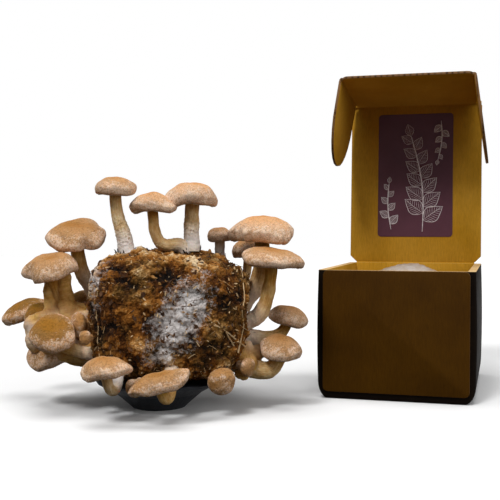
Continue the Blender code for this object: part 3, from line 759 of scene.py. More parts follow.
def combUnder(name, skin, space, reach):
    # Gills: one long and one short blade, arrayed round the stem and draped under the cap.
    wide, gills = reach[0][0], capLook["gills"]
    shell = shellOf(skin, space.inverted())
    blades = []
    for (inner, outer), turn in ((capLook["longGill"], 0), (capLook["shortGill"], math.pi / gills)):
        bpy.ops.mesh.primitive_grid_add(x_subdivisions=capLook["gillParts"], y_subdivisions=1, size=1)
        blade = bpy.context.object
        middle = {"center_override": (0, 0, 0)}
        inEditMode(
            blade,
            lambda: bpy.ops.transform.rotate(value=math.pi / 2, orient_axis="X", **middle),
            lambda: bpy.ops.transform.resize(value=((outer - inner) * wide, 1, 1), **middle),
            lambda: bpy.ops.transform.translate(value=((outer + inner) / 2 * wide, 0, 0)),
            lambda: bpy.ops.transform.rotate(value=turn, orient_axis="Z", **middle),
        )
        addModifier(blade, "SOLIDIFY", thickness=capLook["gillThick"] * mm, offset=0)
        guide = newObject("turn")
        guide.rotation_euler = (0, 0, math.tau / gills)
        bpy.context.view_layer.update()
        addModifier(
            blade, "ARRAY", count=gills, use_relative_offset=False, use_object_offset=True,
            offset_object=guide,
        )
        bpy.data.objects.remove(guide)
        blades.append(blade)
    comb = joinAll(blades, name + "_cap_gills")
    for corner in comb.data.vertices:
        turn, far = polar(corner.co)
        share = far / wide
        far = share * (waveAt(reach, turn) + pullsAt(capForm[name], turn)[0])
        x, y = far * math.cos(turn), far * math.sin(turn) * capForm[name].get("narrow", 1)
        hit = shell.ray_cast(Vector((x, y, capLook["gillCast"] * mm)), up)[0]
        roof = hit.z if hit else 0
        depth = capLook["gillDeep"] * mm * math.sqrt(toShare((capLook["lip"] - share) * capLook["gillFade"]))
        depth *= min(1, wide / (capLook["gillFull"] * mm))
        z = roof - depth if corner.co.z < 0 else roof + capLook["gillInto"] * mm
        corner.co = space @ Vector((x, y, z))
    return paint(comb, gillFlesh)


stemLook = {
    "sides": 8, "gap": 0.3, "near": 9.0, "intoCap": 1.4, "into": 10.0, "flare": 1.2, "turns": 8, "steps": 10,
    "stop": 4.0, "twinFork": (-81.5, -51.2, 159.0), "twinRoot": (-72.5, -48.9, 146.0), "forkWide": 7.2,
    # Relief: heights and grains in millimetres. Scales grow in a band of the stem's length, warts and the
    # white near its foot, and a yellow-brown painted shade fades from the cap down.
    "fibre": 0.30, "fibreWide": (1.6, 1.6, 14), "lump": 0.8, "lumpWide": 11, "scales": 0.8, "scaleWide": 1.9,
    "wart": 0.9, "wartWide": 3.4, "bandFrom": 0.35, "bandIn": 4, "bandTo": 1.02, "bandOut": 5,
    "footReach": 16.0, "footShare": 0.14, "pale": 1.8, "browned": 0.8, "fade": 2.2,
}


def stemLine(node, root, axis):
    # Middles and radii of the stem's rings, walked down from the flat end under its cap to its cut root.
    thing = takeCopy(node, "line", quads=False)
    bm = bmesh.new()
    bm.from_mesh(thing.data)
    bpy.data.objects.remove(thing)
    sides, gap = stemLook["sides"], stemLook["gap"] * mm
    close = [corner for corner in bm.verts if (corner.co - root).length < stemLook["near"] * mm]
    ring = inOrder(sorted(close, key=lambda corner: abs((corner.co - root).dot(axis) + gap))[:sides])
    seen, line = set(), []
    while len(ring) == sides:
        middle = sum((corner.co for corner in ring), Vector()) / sides
        line.append((middle, sum((corner.co - middle).length for corner in ring) / sides))
        seen.update(ring)
        ring = inOrder({edge.other_vert(corner) for corner in ring for edge in corner.link_edges} - seen)
    rest = [corner.co.copy() for corner in bm.verts if corner not in seen]
    bm.free()
    if rest and node != "twin_stem":
        cut = sum(rest, Vector()) / len(rest)
        if (cut - line[-1][0]).length > stemLook["stop"] * mm:
            line.append((cut, line[-1][1]))
    return line


def growStem(name, line, capAxis, form):
    # A tube along the rings, from inside the cap to inside the block.
    wide, swell = form.get("wide", 1), form.get("swell", 1)
    count = len(line) - 1
    knots = [
        (place, radius * wide * (1 + (swell - 1) * (step / count) ** 2))
        for step, (place, radius) in enumerate(line)
    ]
    (first, firstWide), (last, lastWide) = knots[0], knots[-1]
    onward = (last - line[-2][0]).normalized()
    knots.insert(0, (first + capAxis * stemLook["intoCap"] * mm, firstWide))
    knots.append((last + onward * stemLook["into"] * mm, lastWide * stemLook["flare"]))
    knots = [(place, radius / mm) for place, radius in knots]
    return drawTube(name, knots, mm, stemLook["steps"], stemLook["turns"])


def dressStem(thing, top, foot, form):
    # Fibres and lumps, and the stem's zones.
    brown, scaly = form.get("brown", 0.8), form.get("scaly", 0.15)
    subdivide(thing, 1)
    turnFacesOut(thing)
    length = (foot - top).length
    reach = stemLook["footReach"] * mm + stemLook["footShare"] * length
    pale = stemLook["pale"] * (1 - stemLook["browned"] * brown)
    zones = []
    for corner, normal, place in cornersOf(thing):
        streak = noise.noise(Vector(part / wide for part, wide in zip(place, stemLook["fibreWide"])))
        lump = stemLook["fibre"] * streak + stemLook["lump"] * noise.noise(place / stemLook["lumpWide"])
        far = min(1, (corner.co - top).length / length)
        band = toShare((far - stemLook["bandFrom"]) * stemLook["bandIn"])
        band *= scaly * toShare((stemLook["bandTo"] - far) * stemLook["bandOut"])
        lump += stemLook["scales"] * noise.noise(place / stemLook["scaleWide"]) * band
        near = max(0, 1 - (corner.co - foot).length / reach)
        lump += stemLook["wart"] * near * noise.noise(place / stemLook["wartWide"])
        corner.co += normal * lump * mm
        # Painted shade: yellow-brown strongest just under the cap and fading down the stem, added to the stem's
        # own brown.
        shade = max(0, 1 - far * stemLook["fade"]) + brown
        zones.append((band, min(1, near * pale), min(1, shade), 1))
    spreadAttribute(thing, "stemZone", zones)
    shadeSoft(thing, 70)


# How yellow-brown and how scaly each stem is, how much thicker than the frame's, and its swelling root.
stemForm = {
    "tall": dict(brown=0.0, scaly=1.0, wide=1.15),
    "twin_left": dict(brown=0.3, scaly=0.7),
    "twin_right": dict(brown=0.2, scaly=0.8),
    "right_wide": dict(brown=0.7, scaly=0.5, wide=1.1, swell=1.25),
    "right_shelf": dict(brown=0.7, scaly=0.2, swell=1.25),
    "right_mid": dict(brown=0.5, scaly=0.3, wide=1.12, swell=1.6),
    "right_low": dict(brown=0.45, scaly=0.2, wide=1.2, swell=1.4),
    "top_small": dict(brown=0.3, scaly=0.2, wide=1.4),
    "left_top": dict(brown=0.75, scaly=0.4, wide=1.3),
    "left_upper": dict(brown=0.75, scaly=0.4),
    "left_low": dict(brown=0.95, swell=1.3),
    "front_left": dict(brown=0.1, scaly=0.3, wide=0.8),
    "front_mid": dict(brown=0.7, wide=0.85),
}
# For each cap: where its stem meets the block, how wide it is there, and the way it points.
feet = {}


def makeMushrooms():
    spaces = {}
    for name in capForm:
        skin, space, reach = shapeCap(name)
        comb = combUnder(name, skin, space, reach)
        cap = joinAll([paint(skin, capSkin), comb], name + "_cap_fresh")
        finishPiece(cap, name + "_cap")
        spaces[name] = space
    print("caps and gills")
    arms = []
    for name, space in spaces.items():
        twin = name.startswith("twin")
        node = "twin_stem" if twin else name + "_stem"
        root, axis = space.to_translation(), space.to_3x3().col[2]
        line = stemLine(node, root, axis)
        if name == "twin_left":
            for key, wide in (("twinFork", 1), ("twinRoot", 1.1)):
                line.append((Vector(stemLook[key]) * mm, stemLook["forkWide"] * mm * wide))
        form = stemForm.get(name, {})
        stem = growStem(name + "_stem_fresh", line, axis, form)
        foot, wide = line[-1]
        dressStem(stem, root, foot, form)
        feet[name] = foot, wide * form.get("wide", 1), (line[-2][0] - foot).normalized()
        if twin:
            arms.append(stem)
        else:
            finishPiece(paint(stem, stemFlesh), node)
    finishPiece(paint(joinAll(arms, "twin_stem_fresh"), stemFlesh), "twin_stem")
    print("stems")


buttonLook = {
    "smooth": 24, "lump": 1.1, "lumpWide": 9, "wart": 0.4, "wartWide": 2.5, "reach": 0.75, "stray": 0.6,
    "brown": 0.55,
}


def makeButtons():
    for node in [node for node in frame["nodes"] if node.endswith("_button")]:
        thing = takeCopy(node, node + "_fresh")
        before = [corner.co.copy() for corner in thing.data.vertices]
        subdivide(thing, 3)
        smooth(thing, buttonLook["smooth"])
        middle = sum(before, Vector()) / len(before)
        reach = max((corner - middle).length for corner in before)
        soft = max((corner.co - middle).length for corner in thing.data.vertices)
        zones = []
        for corner in thing.data.vertices:
            corner.co = middle + (corner.co - middle) * reach / soft
            place = corner.co / mm
            lump = noise.noise(place / buttonLook["lumpWide"])
            wart = noise.noise(place / buttonLook["wartWide"])
            corner.co += corner.normal * mm * (buttonLook["lump"] * lump + buttonLook["wart"] * wart)
            # brown picks the caps' dark ramp, which is partly painted shade, as on the lower caps.
            zones.append((buttonLook["reach"] + buttonLook["stray"] * lump, 0, buttonLook["brown"], 1))
        spreadAttribute(thing, "capZone", zones)
        shadeSoft(thing, 70)
        finishPiece(paint(thing, capSkin), node)
    print("buttons")


# The knots of grown-together stems at the left and right

rootLook = {
    "cell": 1.6, "smooth": 8, "lump": 2.0, "lumpWide": 9.0, "wart": 0.7, "wartWide": 2.6, "limbStep": 4.0,
    # Middles and radii in millimetres.
    "left": (
        (-218, -72, 86, 10), (-214, -76, 74, 13), (-204, -80, 64, 14), (-190, -84, 60, 14),
        (-178, -86, 58, 12), (-168, -88, 58, 10), (-202, -70, 80, 14), (-186, -74, 78, 14),
        (-174, -74, 86, 11), (-184, -64, 94, 10), (-225, -72, 80, 11), (-222, -74, 66, 12),
    ),
    "right": ((-18, -78, 60, 9), (-9, -72, 52, 9), (-15, -84, 46, 10), (-20, -90, 38, 8), (-1, -66, 55, 7)),
    # Limbs that run from a knot up to a cap: two ends and their radii.
    "limbs": (((-212, -64, 129), 6.5, (-209, -68, 90), 8.0), ((-197, -70, 131), 7.0, (-192, -74, 88), 8.5)),
    "paleAt": 76.0, "paleSpread": 16.0, "paleWide": 14.0, "pale": 0.35, "paleStray": 0.9,
    "scaly": 0.25, "brown": 0.85,
}


def makeRootKnot(side, limbs):
    balls = list(rootLook[side])
    for top, topWide, foot, footWide in limbs:
        steps = round((Vector(top) - Vector(foot)).length / rootLook["limbStep"])
        for step in range(steps + 1):
            share = step / steps
            balls.append((*Vector(top).lerp(Vector(foot), share), topWide + (footWide - topWide) * share))
    bpy.ops.mesh.primitive_uv_sphere_add(segments=24, ring_count=14, radius=mm)
    ball = bpy.context.object
    parts = [copyAt(ball, Matrix.Translation(Vector(at) * mm) @ Matrix.Scale(wide, 4)) for *at, wide in balls]
    bpy.data.objects.remove(ball)
    thing = joinAll(parts, "root_knot_" + side)
    bakePlace(thing)
    remesh(thing, rootLook["cell"])
    smooth(thing, rootLook["smooth"])
    zones = []
    for corner, normal, place in cornersOf(thing):
        lump = rootLook["lump"] * noise.noise(place / rootLook["lumpWide"])
        lump += rootLook["wart"] * noise.noise(place / rootLook["wartWide"])
        pale = math.exp(-(((place.z - rootLook["paleAt"]) / rootLook["paleSpread"]) ** 2))
        pale *= rootLook["pale"] + rootLook["paleStray"] * noise.noise(place / rootLook["paleWide"])
        corner.co += normal * lump * mm
        zones.append((rootLook["scaly"], toShare(pale), rootLook["brown"], 1))
    spreadAttribute(thing, "stemZone", zones)
    inEditMode(thing, lambda: bpy.ops.uv.smart_project())
    shadeSoft(thing, 60)
    finishPiece(paint(thing, stemFlesh), "left_low_stem", replaced=False)


makeMushrooms()
makeButtons()
makeRootKnot("left", rootLook["limbs"])
makeRootKnot("right", ())


# The fruiting block

def crumbleBlock():
    thing = takeCopy("sawdust_block", "sawdust_block_fresh")
    floor = min(corner.co.z for corner in thing.data.vertices)
    remesh(thing, blockLook["cell"])
    smooth(thing, blockLook["smooth"])
    before = [(corner.co.copy(), corner.normal.copy()) for corner in thing.data.vertices]
    for layer in blockLook["relief"]:
        roughen(thing, *layer)
    heaps = []
    for corner, (old, normal) in zip(thing.data.vertices, before):
        heaps.append((corner.co - old).dot(normal) / mm)
        corner.co.z = max(corner.co.z, floor)
    spreadAttribute(thing, "heap", heaps)
    turnFacesOut(thing)
    return finishPiece(paint(thing, fruitingSawdust), "sawdust_block")


def chipShape(long, wide, thick):
    # One flake: a cube stretched, tapered and bent as by hand, as its points and faces.
    bpy.ops.mesh.primitive_cube_add(size=1)
    chip = bpy.context.object
    size = long * mm, wide * mm, thick * mm
    inEditMode(
        chip,
        lambda: bpy.ops.transform.resize(value=size, center_override=(0, 0, 0)),
        lambda: bpy.ops.mesh.subdivide(number_cuts=1),
    )
    for corner in chip.data.vertices:
        along = corner.co.x / (long * mm)
        corner.co.y *= 1 - blockLook["taper"] * abs(along)
        corner.co.z += blockLook["bend"] * long * mm * along * along
    points = [corner.co.copy() for corner in chip.data.vertices]
    faces = [list(face.vertices) for face in chip.data.polygons]
    bpy.data.objects.remove(chip)
    return points, faces


def finishLoose(thing, tones):
    # Something loose on the block: chipTone for each point, and the chips' own finish.
    spreadAttribute(thing, "chipTone", tones)
    finishPiece(paint(thing, woodChips), "sawdust_block", replaced=False)


def wobble(thing, grain, size):
    for corner in thing.data.vertices:
        corner.co += noise.noise_vector(corner.co / mm / grain) * size * mm


def strewOn(block, name, shape, count, sizes, tones, lift):
    # Copies of one flake thrown on the block, each turned, sized and toned by the dice.
    points, faces = shape
    spots = [face for face in block.data.polygons if face.center.z > blockLook["above"] * mm]
    most = blockLook["lean"]
    allPoints, allFaces, allTones = [], [], []
    for _ in range(count):
        spot = dice.choice(spots)
        lean = (spot.normal + Vector(dice.uniform(-most, most) for _ in range(3))).normalized()
        turn = lean.to_track_quat("Z", "X").to_matrix() @ Matrix.Rotation(dice.uniform(0, math.tau), 3, "Z")
        size, tone = dice.uniform(*sizes), dice.uniform(*tones) ** blockLook["toneBend"]
        start = len(allPoints)
        allPoints += [spot.center + spot.normal * lift * mm + turn @ (point * size) for point in points]
        allFaces += [[start + corner for corner in face] for face in faces]
        allTones += [tone] * len(points)
    finishLoose(newMesh(name, allPoints, allFaces), allTones)


# Dark tufts of bark round the feet that show, and pale strands of film and straw laid on the block.
tuftLook = {
    "long": (4.0, 9.0), "thick": 1.25, "tip": 0.1, "stray": (0.7, 1.5), "count": 18, "lean": 0.5,
    "away": 0.04, "ring": (0.92, 1.2), "stand": 0.7, "wobble": (1.3, 0.35), "tone": 0.02, "toneStray": 0.10,
    "feet": ("tall", "twin_right", "twin_left", "right_wide", "right_shelf", "right_mid", "right_low"),
}
strandLook = {
    "thick": 0.55, "stray": (0.7, 1.3), "cast": -0.3, "wobble": (2.5, 0.5),
    "tone": 0.9, "toneStray": 0.1, "toneWide": 4,
    # Places across and up, in millimetres, where each strand lies on the block's front.
    "paths": (
        ((-155, 118), (-156, 108), (-157, 96), (-155, 84), (-156, 72), (-154, 60)),
        ((-22, 136), (-19, 124), (-18, 110), (-20, 97), (-19, 84), (-22, 68)),
        ((-48, 90), (-41, 85), (-34, 80), (-28, 74), (-22, 68)), ((-43, 91), (-36, 82), (-31, 72)),
    ),
}


def makeTufts(shell):
    bpy.ops.mesh.primitive_cone_add(vertices=6, radius1=mm, radius2=tuftLook["tip"] * mm, depth=2 * mm)
    tuft = bpy.context.object
    subdivide(tuft, 1)
    tufts = []
    for name in tuftLook["feet"]:
        foot, wide, axis = feet[name]
        side = axis.orthogonal().normalized()
        for _ in range(tuftLook["count"]):
            out = Matrix.Rotation(dice.uniform(0, math.tau), 3, axis) @ side
            start = foot + axis * tuftLook["away"] + out * wide * dice.uniform(*tuftLook["ring"])
            spot = shell.ray_cast(start, -axis, 2 * tuftLook["away"])[0]
            long = dice.uniform(*tuftLook["long"]) / 2
            thick = tuftLook["thick"] * dice.uniform(*tuftLook["stray"])
            way = (axis + out * dice.uniform(-tuftLook["lean"], tuftLook["lean"])).normalized()
            if spot:
                turn = way.to_track_quat("Z", "X").to_matrix().to_4x4()
                put = Matrix.Translation(spot + way * long * tuftLook["stand"] * mm) @ turn
                tufts.append(copyAt(tuft, put @ Matrix.Diagonal((thick, thick, long, 1))))
    bpy.data.objects.remove(tuft)
    thing = joinAll(tufts, "bark_tufts")
    bakePlace(thing)
    wobble(thing, *tuftLook["wobble"])
    grains = [abs(noise.noise(corner.co / mm)) for corner in thing.data.vertices]
    finishLoose(thing, [tuftLook["tone"] + tuftLook["toneStray"] * grain for grain in grains])


def makeStrands(shell):
    strands = []
    for path in strandLook["paths"]:
        line = []
        for x, z in path:
            hit = shell.ray_cast(Vector((x * mm, strandLook["cast"], z * mm)), Vector((0, 1, 0)))[0]
            if hit:
                line.append((hit, strandLook["thick"] * mm * dice.uniform(*strandLook["stray"])))
        strands.append(growStem("strand", line, Vector((0, -1, 0)), {}))
    thing = joinAll(strands, "film_strands")
    wobble(thing, *strandLook["wobble"])
    shadeSoft(thing, 60)
    grains = [noise.noise(corner.co / mm / strandLook["toneWide"]) for corner in thing.data.vertices]
    finishLoose(thing, [strandLook["tone"] + strandLook["toneStray"] * grain for grain in grains])


def makeBlock():
    block = crumbleBlock()
    shell = shellOf(block)
    makeTufts(shell)
    makeStrands(shell)
    for name, (size, *throw) in blockLook["loose"].items():
        strewOn(block, name, chipShape(*size), *throw)
    print("block and chips")


makeBlock()
frame["nodes"]["stand"].data.materials[0] = darkStand


# The box. Along its own axes x runs along the front, y from the front to the back, z up.

def boxFrame():
    turn = Matrix((boxAcross, boxBack, up)).transposed().to_4x4()
    points = [turn.inverted() @ corner.co for corner in frame["nodes"]["box_tray"].data.vertices]
    middle = (min(point.x for point in points) + max(point.x for point in points)) / 2
    return turn @ Matrix.Translation((middle, min(point.y for point in points), 0))


boxSpace = boxFrame()
boxHome = boxSpace.inverted()
trayLook = {
    "bevel": 0.7, "wall": 8.0, "floor": 3.0, "front": 4.0, "near": 0.5, "footIn": 10.0, "footHigh": 17.0,
    "fade": 2.0, "bulge": 1.4, "cuts": (1, 3, 5.5, 9, 13, 17, 30, 50, 72, 95, 115), "panelBevel": 0.35,
    "rimDeep": 0.05, "hair": 0.001,
}
creaseLook = {
    "hold": 1.5, "gap": 1.3, "thin": 0.25, "thick": 2.85, "turns": 8, "short": 0.8, "wallSetback": 2.0,
    "chamfer": 7.0, "bend": 0.2, "facing": 0.3,
}


def softenEdges(thing, width, segments=2):
    sharp = {"limit_method": "ANGLE", "angle_limit": math.radians(40)}
    addModifier(thing, "BEVEL", width=width * mm, segments=segments, use_clamp_overlap=True, **sharp)


def boardWays(node, fold, axis):
    # The way from a fold into its board, and the way out through the board's outer face.
    mesh = frame["nodes"][node].data
    middle = sum((corner.co for corner in mesh.vertices), Vector()) / len(mesh.vertices) - fold
    outward = max(mesh.polygons, key=lambda face: face.area).normal.copy()
    outward *= 1 if middle.dot(outward) > 0 else -1
    onward = (middle - axis * middle.dot(axis) - outward * middle.dot(outward)).normalized()
    return onward, outward


def foldOf(jointName):
    return Vector(joints[jointName]["pos_m"]), Vector(joints[jointName]["axis"]).normalized()


def dressBoard(node, jointName):
    # A panel that folds at a joint: kraft inside, printed outside, its cut edges round about.
    fold, axis = foldOf(jointName)
    outward = boardWays(node, fold, axis)[1]
    thing = takeCopy(node, node + "_board")
    softenEdges(thing, boardLook["bevel"])
    paint(thing, kraft, printedBlack, cutBoard)
    for face in thing.data.polygons:
        facing = face.normal.dot(outward)
        side = 0 if facing < 0 else 1
        face.material_index = side if abs(facing) > boardLook["facing"] else 2
    shadeSoft(thing, 60)
    return finishPiece(thing, node)


def bellyOut(thing):
    # The lower side edges are worn round and the side walls belly out a little.
    for height in trayLook["cuts"]:
        inEditMode(thing, lambda: bpy.ops.mesh.bisect(plane_co=(0, 0, height * mm), plane_no=(0, 0, 1)))
    points = [boxHome @ corner.co for corner in thing.data.vertices]
    half, deep, high = map(max, zip(*points))
    inner, fade = half - trayLook["wall"] * mm, trayLook["fade"] * mm
    floor, front = [(trayLook[key] - trayLook["hair"]) * mm for key in ("floor", "front")]
    for corner, point in zip(thing.data.vertices, points):
        lined = point.z > floor and abs(point.x) < inner + trayLook["hair"] * mm
        if lined and front < point.y < deep - floor:
            continue
        outer = math.copysign(max(0, abs(point.x) - inner + fade) / (half - inner + fade), point.x) * mm
        low = max(0, 1 - point.z / (trayLook["footHigh"] * mm))
        point.x -= outer * trayLook["footIn"] * (1 - math.sqrt(max(0, 1 - low * low)))
        point.x += outer * trayLook["bulge"] * math.sin(math.pi * min(1, point.z / high))
        corner.co = boxSpace @ point


def dressTray():
    thing = takeCopy("box_tray", "box_tray_board")
    softenEdges(thing, trayLook["bevel"])
    bellyOut(thing)
    paint(thing, kraft, printedBlack, rimKraft)
    half, deep, rim = map(max, zip(*(boxHome @ corner.co for corner in thing.data.vertices)))
    wall, floor, front = [(trayLook[key] - trayLook["near"]) * mm for key in ("wall", "floor", "front")]
    for face in thing.data.polygons:
        at = boxHome @ face.center
        lined = abs(at.x) < half - wall and at.z > floor and front < at.y < deep - floor
        face.material_index = 2 if at.z > rim - trayLook["rimDeep"] * mm else 0 if lined else 1
    shadeSoft(thing, 40)
    finishPiece(thing, "box_tray")


def dressPanel():
    thing = takeCopy("front_panel", "front_panel_board")
    softenEdges(thing, trayLook["panelBevel"])
    # The panel's dark kraft is painted shade.
    paint(thing, shadedPanelKraft, cutBoard)
    for face in thing.data.polygons:
        face.material_index = 0 if abs(face.normal.dot(boxBack)) > boardLook["facing"] else 1
    shadeSoft(thing, 60)
    finishPiece(thing, "front_panel")


def makeCrease(name, jointName, first, second, reach):
    # The bent stretch of board that joins two panels: a band round the fold, drawn out along it. The lid's
    # has no first panel but the tray's back wall.
    fold, axis = foldOf(jointName)
    firstWay, firstOut = boardWays(first, fold, axis) if first else (-up, boxBack)
    secondWay, secondOut = boardWays(second, fold, axis)
    setback = boxBack * -(0 if first else creaseLook["wallSetback"] * mm)
    inside = (creaseLook["gap"] + creaseLook["hold"]) * mm
    steps, bend = creaseLook["turns"], creaseLook["bend"]
    stations = [(firstWay * inside + setback, firstOut), (firstWay * bend * inside + setback, firstOut)]
    if first:
        for share in [step / steps for step in range(steps + 1)]:
            soft = share * share * (3 - 2 * share)
            stations.append((setback * (1 - soft), firstOut.slerp(secondOut, share)))
    else:
        stations.append((secondWay * bend * inside, secondOut))
    stations.append((secondWay * inside, secondOut))
    start, finish = reach
    points = []
    for offset, out in stations:
        for thick in (creaseLook["thin"], creaseLook["thick"]):
            points.append(fold + offset + out * thick * mm + axis * start)
    faces = [(2 * i, 2 * i + 1, 2 * i + 3, 2 * i + 2) for i in range(len(stations) - 1)]
    thing = newMesh(name, points, faces)
    inEditMode(
        thing,
        lambda: bpy.ops.mesh.extrude_region_move(TRANSFORM_OT_translate={"value": axis * (finish - start)}),
        lambda: bpy.ops.mesh.select_all(action="SELECT"),
        lambda: bpy.ops.mesh.normals_make_consistent(inside=False),
    )
    paint(thing, kraft, printedBlack, cutBoard)
    for face in thing.data.polygons:
        away = face.center - fold
        away -= axis * away.dot(axis)
        outer = face.normal.dot(away) > 0 and face.normal.dot(firstOut + secondOut) > creaseLook["facing"]
        cut = abs(face.normal.dot(axis)) > boardLook["facing"]
        face.material_index = 2 if cut else 1 if outer else 0
    shadeSoft(thing, 35)
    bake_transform(thing)


def spanAlong(node, fold, axis):
    reaches = [(corner.co - fold).dot(axis) for corner in frame["nodes"][node].data.vertices]
    return min(reaches) + creaseLook["short"] * mm, max(reaches) - creaseLook["short"] * mm


def makeBoards():
    dressTray()
    dressPanel()
    for node, jointName in (
        ("box_lid", "lid_fold"), ("tuck_flap", "flap_fold"),
        ("flap_ear_left", "ear_left_fold"), ("flap_ear_right", "ear_right_fold"),
    ):
        dressBoard(node, jointName)
    start, finish = spanAlong("box_lid", *foldOf("lid_fold"))
    chamfer = creaseLook["chamfer"] * mm
    makeCrease("lid_crease", "lid_fold", None, "box_lid", (start + chamfer, finish - chamfer))
    flapReach = spanAlong("box_lid", *foldOf("flap_fold"))
    makeCrease("flap_crease", "flap_fold", "box_lid", "tuck_flap", flapReach)
    for side in ("left", "right"):
        node, jointName = f"flap_ear_{side}", f"ear_{side}_fold"
        makeCrease(f"ear_crease_{side}", jointName, "tuck_flap", node, spanAlong(node, *foldOf(jointName)))
    print("boards and creases")


makeBoards()


# The label on the lid, with three plain sprigs drawn on it

sprigLook = {
    "line": 0.42, "taper": 0.45, "steps": 5, "lift": 0.04, "flat": 0.35, "spans": 6, "stemLine": 1.5,
    "firstLeaf": 0.12, "lean": 0.95, "straighten": 0.25, "shrink": 0.5,
    "leafLong": 31.0, "leafWide": 0.33, "midLine": 0.8, "midBow": 0.015, "labelBevel": 0.12,
    # The leaf's edge between its ends, along and across, then the veins: their number, how long they are,
    # where they bend, how near the edge they come, and their line.
    "edge": ((0.16, 0.6), (0.42, 1), (0.75, 0.55)),
    "veins": 9, "veinLong": 0.16, "veinBend": (0.09, 0.6), "veinReach": 0.86, "veinSwell": 0.8,
    "veinLine": 0.55,
    # Each sprig: foot and tip as shares of the label, its bow, number of leaves and size.
    "sprigs": (
        ((0.60, 0.04), (0.44, 0.82), 0.07, 13, 1.0), ((0.18, 0.06), (0.15, 0.44), -0.03, 7, 0.5),
        ((0.84, 0.94), (0.80, 0.62), 0.03, 7, 0.42),
    ),
}


def labelSpace():
    # The label's lower left corner and its own axes, and how wide and high it is in millimetres.
    fold, axis = foldOf("lid_fold")
    onward, outward = boardWays("box_lid", fold, axis)
    turn = Matrix((axis, onward, -outward))
    points = [turn @ (corner.co - fold) for corner in frame["nodes"]["lid_label"].data.vertices]
    (left, right), (low, top), (_, front) = [(min(values), max(values)) for values in zip(*points)]
    corner = fold + axis * left + onward * low - outward * front
    return Matrix.Translation(corner) @ turn.transposed().to_4x4(), (right - left) / mm, (top - low) / mm


def drawStroke(points, width=1.0):
    # One pen line in the label's plane, in millimetres, thinner at both ends.
    last = len(points) - 1
    knots = [
        ((x * mm, y * mm, 0), width * (sprigLook["taper"] if index in (0, last) else 1))
        for index, (x, y) in enumerate(points)
    ]
    return drawTube("stroke", knots, sprigLook["line"] * mm, sprigLook["steps"], 0)


def drawLeaf(long):
    # A leaf's outline, its midrib and side veins, along +X from the origin.
    def draw(*points, width=1.0):
        return drawStroke([(long * along, long * across) for along, across in points], width)

    wide = sprigLook["leafWide"]
    strokes = [draw((0, 0), (0.5, sprigLook["midBow"]), (1, 0), width=sprigLook["midLine"])]
    for side in (-1, 1):
        edge = [(along, across * wide * side) for along, across in sprigLook["edge"]]
        strokes.append(draw((0, 0), *edge, (1, 0)))
        for vein in range(1, sprigLook["veins"] + 1):
            start = vein / (sprigLook["veins"] + 1.5)
            end = start + sprigLook["veinLong"]
            reach = wide * math.sin(math.pi * min(1, end) ** sprigLook["veinSwell"])
            reach *= sprigLook["veinReach"] * side
            middle = start + sprigLook["veinBend"][0], reach * sprigLook["veinBend"][1]
            strokes.append(draw((start, 0), middle, (end, reach), width=sprigLook["veinLine"]))
    return joinAll(strokes, "leaf")


def drawSprig(wide, high, foot, tip, bow, leaves, scale):
    # A bowed stem with leaves that lean to either side in turn and grow smaller towards its tip.
    spans = sprigLook["spans"]
    stem = []
    for share in [step / spans for step in range(spans + 1)]:
        across = foot[0] + (tip[0] - foot[0]) * share + bow * math.sin(math.pi * share)
        stem.append((wide * across, high * (foot[1] + (tip[1] - foot[1]) * share)))
    strokes = [drawStroke(stem, sprigLook["stemLine"])]
    pattern = drawLeaf(sprigLook["leafLong"] * scale)
    for leaf in range(leaves):
        place = sprigLook["firstLeaf"] + (1 - sprigLook["firstLeaf"]) * leaf / (leaves - 1)
        step = min(spans - 1, int(place * spans))
        near, far = stem[step], stem[step + 1]
        part = place * spans - step
        x, y = [(start + (end - start) * part) * mm for start, end in zip(near, far)]
        lean = (1 if leaf % 2 else -1) * sprigLook["lean"] * (1 - sprigLook["straighten"] * place)
        heading = math.atan2(far[1] - near[1], far[0] - near[0]) + (0 if leaf == leaves - 1 else lean)
        size = 1 - (1 - sprigLook["shrink"]) * place
        put = Matrix.Translation((x, y, 0)) @ Matrix.Rotation(heading, 4, "Z")
        strokes.append(copyAt(pattern, put @ Matrix.Diagonal((size, size, 1, 1))))
    bpy.data.objects.remove(pattern)
    return strokes


def makeLabel():
    space, wide, high = labelSpace()
    label = paint(takeCopy("lid_label", "lid_label_paper"), maroonPaper)
    softenEdges(label, sprigLook["labelBevel"], 1)
    finishPiece(label, "lid_label")
    strokes = [stroke for sprig in sprigLook["sprigs"] for stroke in drawSprig(wide, high, *sprig)]
    drawing = joinAll(strokes, "label_drawing")
    for corner in drawing.data.vertices:
        corner.co.z = corner.co.z * sprigLook["flat"] + sprigLook["lift"] * mm
        corner.co = space @ corner.co
    finishPiece(paint(drawing, paleInk), "lid_label", replaced=False)
    print("label")


makeLabel()


# The bagged block in the box

bagLook = {
    # Cell of the remesh, then the layers of relief: grain and height.
    "cell": 2.6, "relief": ((26.0, 2.6), (9.0, 1.3)),
    "crest": 112.0, "crestHigh": 24.0, "crestShift": 5.0, "crestRise": 0.32, "pleat": 0.4, "pleatWide": 7.0,
    "pleatStray": 2.5, "strayWide": 18.0, "over": 1.8,
}


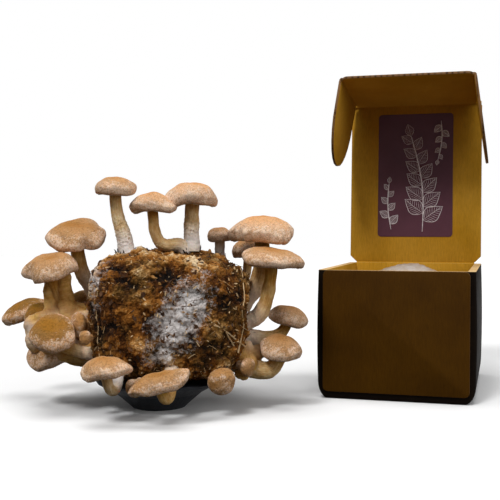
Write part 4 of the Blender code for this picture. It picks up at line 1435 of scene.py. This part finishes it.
def makeBag():
    thing = takeCopy("grow_bag", "grow_bag_film")
    low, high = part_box("grow_bag")
    subdivide(thing, 2)
    remesh(thing, bagLook["cell"])
    for layer in bagLook["relief"]:
        roughen(thing, *layer)
    # Pleats gathered along the crest, which runs from side to side.
    for corner in thing.data.vertices:
        at = (boxHome @ corner.co) / mm
        rise = toShare((at.z - bagLook["crest"]) / bagLook["crestHigh"])
        corner.co += boxAcross * bagLook["crestShift"] * mm * rise
        stray = bagLook["pleatStray"] * noise.noise(at / bagLook["strayWide"])
        pleat = bagLook["pleat"] * math.sin(at.x * math.tau / bagLook["pleatWide"] + stray)
        corner.co.z += (pleat + bagLook["crestHigh"] * bagLook["crestRise"] * rise) * mm * rise
        corner.co.z = min(max(corner.co.z, low.z), high.z + bagLook["over"] * mm)
    turnFacesOut(thing)
    shadeSoft(thing, 40)
    finishPiece(paint(thing, cloudyFilm), "grow_bag")
    print("bag")


makeBag()


# Floor, light and camera

studio = {
    "floor": (0.88, 0.88, 0.88), "sky": ((0.35, 0.03), (0.60, 0.22), (1.0, 0.42)),
    "camera": (-0.0125, -0.9597, 0.1803), "tilt": 0.0278, "lens": 64.8, "sensor": 36,
    # Each sun: where it stands, its power and its spread in degrees.
    "suns": {
        "key": ((-0.45, -0.70, 1.0), 1.5, 14), "top": ((-0.05, 0.0, 1.0), 1.5, 35),
        "fill": ((0.85, -0.70, 0.45), 0.9, 45),
    },
}


def layFloor():
    bpy.ops.mesh.primitive_plane_add(size=8, location=(0, 0, -0.0003))
    floor = bpy.context.object
    floor.name = "floor"
    material, tree = newFinish("paleFloor", 0.9)
    grain = noiseAt(objectPlace(tree), 400, 2)
    bakePlace(paint(floor, wireUp(material, studio["floor"], grain, 0.05, 0.2)))
    floor.visible_diffuse = False


def hangSky():
    # White wherever the camera sees it. The light that it casts is stronger from above than from below.
    world = bpy.context.scene.world or bpy.data.worlds.new("studio")
    bpy.context.scene.world = world
    world.use_nodes = True
    tree = world.node_tree
    backdrop = tree.nodes["Background"]
    backdrop.inputs["Color"].default_value = (1, 1, 1, 1)
    seen = addNode(tree, "ShaderNodeLightPath").outputs["Is Camera Ray"]
    way = addNode(tree, "ShaderNodeTexCoord").outputs["Generated"]
    height = addNode(tree, "ShaderNodeSeparateXYZ", Vector=way).outputs["Z"]
    sky = rampOf(plus(times(height, 0.5), 0.5), *studio["sky"])
    fillSocket(backdrop.inputs["Strength"], mathOf("MAXIMUM", seen, sky))


def makeStudio():
    layFloor()
    hangSky()
    for name, (way, power, spread) in studio["suns"].items():
        bpy.ops.object.light_add(type="SUN", location=way)
        light = bpy.context.object
        light.name = name + "_light"
        light.data.energy = power
        light.data.angle = math.radians(spread)
        light.rotation_euler = Vector(way).to_track_quat("Z", "Y").to_euler()
    bpy.ops.object.camera_add(location=studio["camera"], rotation=(math.pi / 2 - studio["tilt"], 0, 0))
    camera = bpy.context.object
    camera.data.lens = studio["lens"]
    camera.data.sensor_width = studio["sensor"]
    bpy.context.scene.camera = camera
    bpy.context.scene.view_settings.view_transform = "Standard"
    print("studio")


makeStudio()
